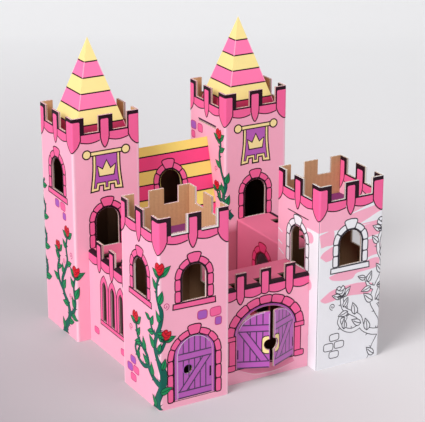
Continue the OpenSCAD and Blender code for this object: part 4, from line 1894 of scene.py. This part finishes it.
def spire_stripes(job, tall, half):
    slant = math.hypot(tall, half)

    def row(down):
        """The way up a face and half its width, at a distance below the tip."""
        return slant * (1 - down / tall), half * down / tall

    for i in range(SPIRE_BANDS):
        v_top, reach_top = row(SPIRE_CAP + i * SPIRE_BAND)
        v_low, reach_low = row(min(SPIRE_CAP + (i + 1) * SPIRE_BAND, tall - CLEAR))
        if i % 2 == 0:
            corners = [(-reach_low, v_low), (reach_low, v_low), (reach_top, v_top), (-reach_top, v_top)]
            job.fill(corners, "spire_foot" if i == FOOT_BAND else "spire_pink", WASH)
            for side in (-1, 1):
                # A paler line along each edge of a pink band.
                pale_mark = [(side * (reach_low - PALE_EDGE_INSET), v_low), (side * (reach_top - PALE_EDGE_INSET), v_top)]
                job.ribbon(pale_mark, PALE_EDGE_WIDTH, "worn_pink", FORM)
        job.ribbon([(-reach_top, v_top), (reach_top, v_top)], STRIPE_LINE, "line", RULE)


for name in SPIRES:
    tall, half = size(name, 2), size(name, 0) / 2
    base = top_of(name) - tall
    for k, side in enumerate(SIDES):
        edge = turned((0, -half, base), 90 * k) + ground(name)
        face = panel(edge, turned((1, 0, 0), 90 * k), turned((0, half, tall), 90 * k))
        job = Printing(f"print_{name}_{side}", "castle", "roof_board", face)
        spire_stripes(job, tall, half)
        job.fold()

# %% [markdown]
# ## Camera
# The castle is seen from the front left and a little above, through a long lens from well back, as a
# toy is photographed on a table. A wide lens close by would make the near corner loom. The lens is
# worked out from a focal length in pixels and the picture's width.

# %% Set the camera
CAMERA_AZIMUTH, CAMERA_ELEVATION = -29.88, 20.21
CAMERA_DISTANCE = 2418.6 * MM
CAMERA_TARGET = Vector((93.4, 150.8, 119.3)) * MM
FOCAL_PIXELS = 1647.9
PHOTO_WIDTH = 425
SENSOR = 36.0


def aim_at(thing, place, target):
    """Puts a lamp or a camera in its place, looking at a target."""
    thing.location = place
    thing.rotation_euler = (Vector(target) - Vector(place)).to_track_quat("-Z", "Y").to_euler()
    bpy.context.scene.collection.objects.link(thing)


elevation = math.radians(CAMERA_ELEVATION)
back = turned((0, -math.cos(elevation), math.sin(elevation)), CAMERA_AZIMUTH)
camera_data = bpy.data.cameras.new("camera")
camera_data.sensor_width = SENSOR
camera_data.lens = FOCAL_PIXELS * SENSOR / PHOTO_WIDTH
camera = bpy.data.objects.new("camera", camera_data)
aim_at(camera, CAMERA_TARGET + back * CAMERA_DISTANCE, CAMERA_TARGET)
bpy.context.scene.camera = camera
bpy.context.scene.view_settings.view_transform = "Standard"
print("camera lens", round(camera_data.lens, 1), "mm")

# %% [markdown]
# ## Stage
# The castle stands on a pale sheet of studio paper that curves up behind it. Floor and wall could be
# two planes, but their joint would show as a line. The paper is greyer at the near left, where less
# light comes back, and glows faintly far away, for the camera alone. Under the towers and decks next to
# no light reaches the paper, so it is dark there, as it looks through the real castle's openings.

# %% Build the stage
FLOOR_HALF, FLOOR_BACK, FLOOR_TOP = 6.0, 1.6, 4.0
BEND, BEND_RINGS = 1.2, 16
FLOOR_LEFT = (148, 138, 144)
FLOOR_RIGHT = (205, 201, 203)
FLOOR_FAR = (232, 232, 234)
FLOOR_DARK = (44, 34, 33)
FLOOR_ROUGHNESS = 0.9
FAR_START, FAR_FULL = -0.3, 1.7
RIGHT_START, RIGHT_FULL = -0.35, 0.35
NO_GLOW, FAR_GLOW = (0, 0, 0, 1), (0.18, 0.18, 0.18, 1)
PITCH_X, PITCH_Y = (2 * middle("tower_back_right")[axis] * MM for axis in (0, 1))


def covered(x, y):
    """Marks the floor under the towers and the decks, in metres."""
    out_x, out_y = abs(abs(x) - PITCH_X / 2), abs(abs(y) - PITCH_Y / 2)
    tower, deck = (TOWER_W / 2 - BOARD) * MM, (RAMPART_HALF - BOARD) * MM
    sides = (out_x < deck) * (abs(y) < PITCH_Y / 2)
    ends = (out_y < deck) * (abs(x) < PITCH_X / 2)
    return (out_x < tower) * (out_y < tower) + sides + ends > 0.5


def studio_paper():
    finish = Finish("studio_paper")
    point = finish.add("ShaderNodeTexCoord", {}, {}, output="Object")
    flat = finish.add("ShaderNodeSeparateXYZ", {}, {0: point})
    far = finish.ramp(flat.out("Y"), FAR_START, FAR_FULL)
    right = finish.ramp(flat.out("X"), RIGHT_START, RIGHT_FULL)
    near = finish.mix(right, linear(FLOOR_LEFT), linear(FLOOR_RIGHT))
    pale = finish.mix(far, near, linear(FLOOR_FAR))
    spot = finish.add("ShaderNodeNewGeometry", {}, {}, output="Position")
    spot = finish.add("ShaderNodeSeparateXYZ", {}, {0: spot})
    hidden = covered(spot.out("X"), spot.out("Y"))
    finish.set(Base_Color=finish.mix(hidden, pale, linear(FLOOR_DARK)), Roughness=FLOOR_ROUGHNESS)
    seen = finish.add("ShaderNodeLightPath", {}, {}, output="Is Camera Ray")
    glow = far * seen * (1 - hidden)
    finish.set(Emission_Color=finish.mix(glow, NO_GLOW, FAR_GLOW), Emission_Strength=1.0)
    return finish.material


def studio_floor():
    bend = arc(FLOOR_BACK, BEND, BEND, BEND, -math.pi / 2, 0, BEND_RINGS)
    profile = [(-FLOOR_HALF, 0.0)] + bend + [(FLOOR_BACK + BEND, FLOOR_TOP)]
    mesh = bmesh.new()
    rows = [[mesh.verts.new((side * FLOOR_HALF, y, z)) for side in (-1, 1)] for y, z in profile]
    for (a, b), (c, d) in zip(rows, rows[1:]):
        mesh.faces.new((a, b, d, c)).smooth = True
    data = bpy.data.meshes.new("studio_floor")
    mesh.to_mesh(data)
    mesh.free()
    data.materials.append(studio_paper())
    floor = bpy.data.objects.new("studio_floor", data)
    bpy.context.scene.collection.objects.link(floor)
    floor.rotation_euler.z = math.radians(CAMERA_AZIMUTH)
    print("studio floor of", len(data.polygons), "strips")


studio_floor()

# %% [markdown]
# ## Light
# A large soft lamp high on the left makes the left walls a little brighter than the fronts, and a weak
# one over the front keeps the fronts from going flat. A sun would throw hard shadows, which a studio
# avoids. An even white world fills in the rest, at a level where an ink looks about as it is written.

# %% Set the lamps and the world
LAMP_AIM = (0, 0, 0.15)
WORLD_LIGHT = 0.42


def lamp(name, place, width, watts):
    data = bpy.data.lights.new(name, "AREA")
    data.shape = "DISK"
    data.size = width
    data.energy = watts
    aim_at(bpy.data.objects.new(name, data), place, LAMP_AIM)
    print(name, watts, "W")


lamp("key_lamp", (-2.2, -0.9, 2.1), 1.7, 96)
lamp("fill_lamp", (0.3, -1.2, 2.2), 1.2, 15)
world = bpy.data.worlds.new("studio_world")
world.use_nodes = True
sky = world.node_tree.nodes["Background"]
sky.inputs["Color"].default_value = (1.0, 1.0, 1.0, 1.0)
sky.inputs["Strength"].default_value = WORLD_LIGHT
bpy.context.scene.world = world
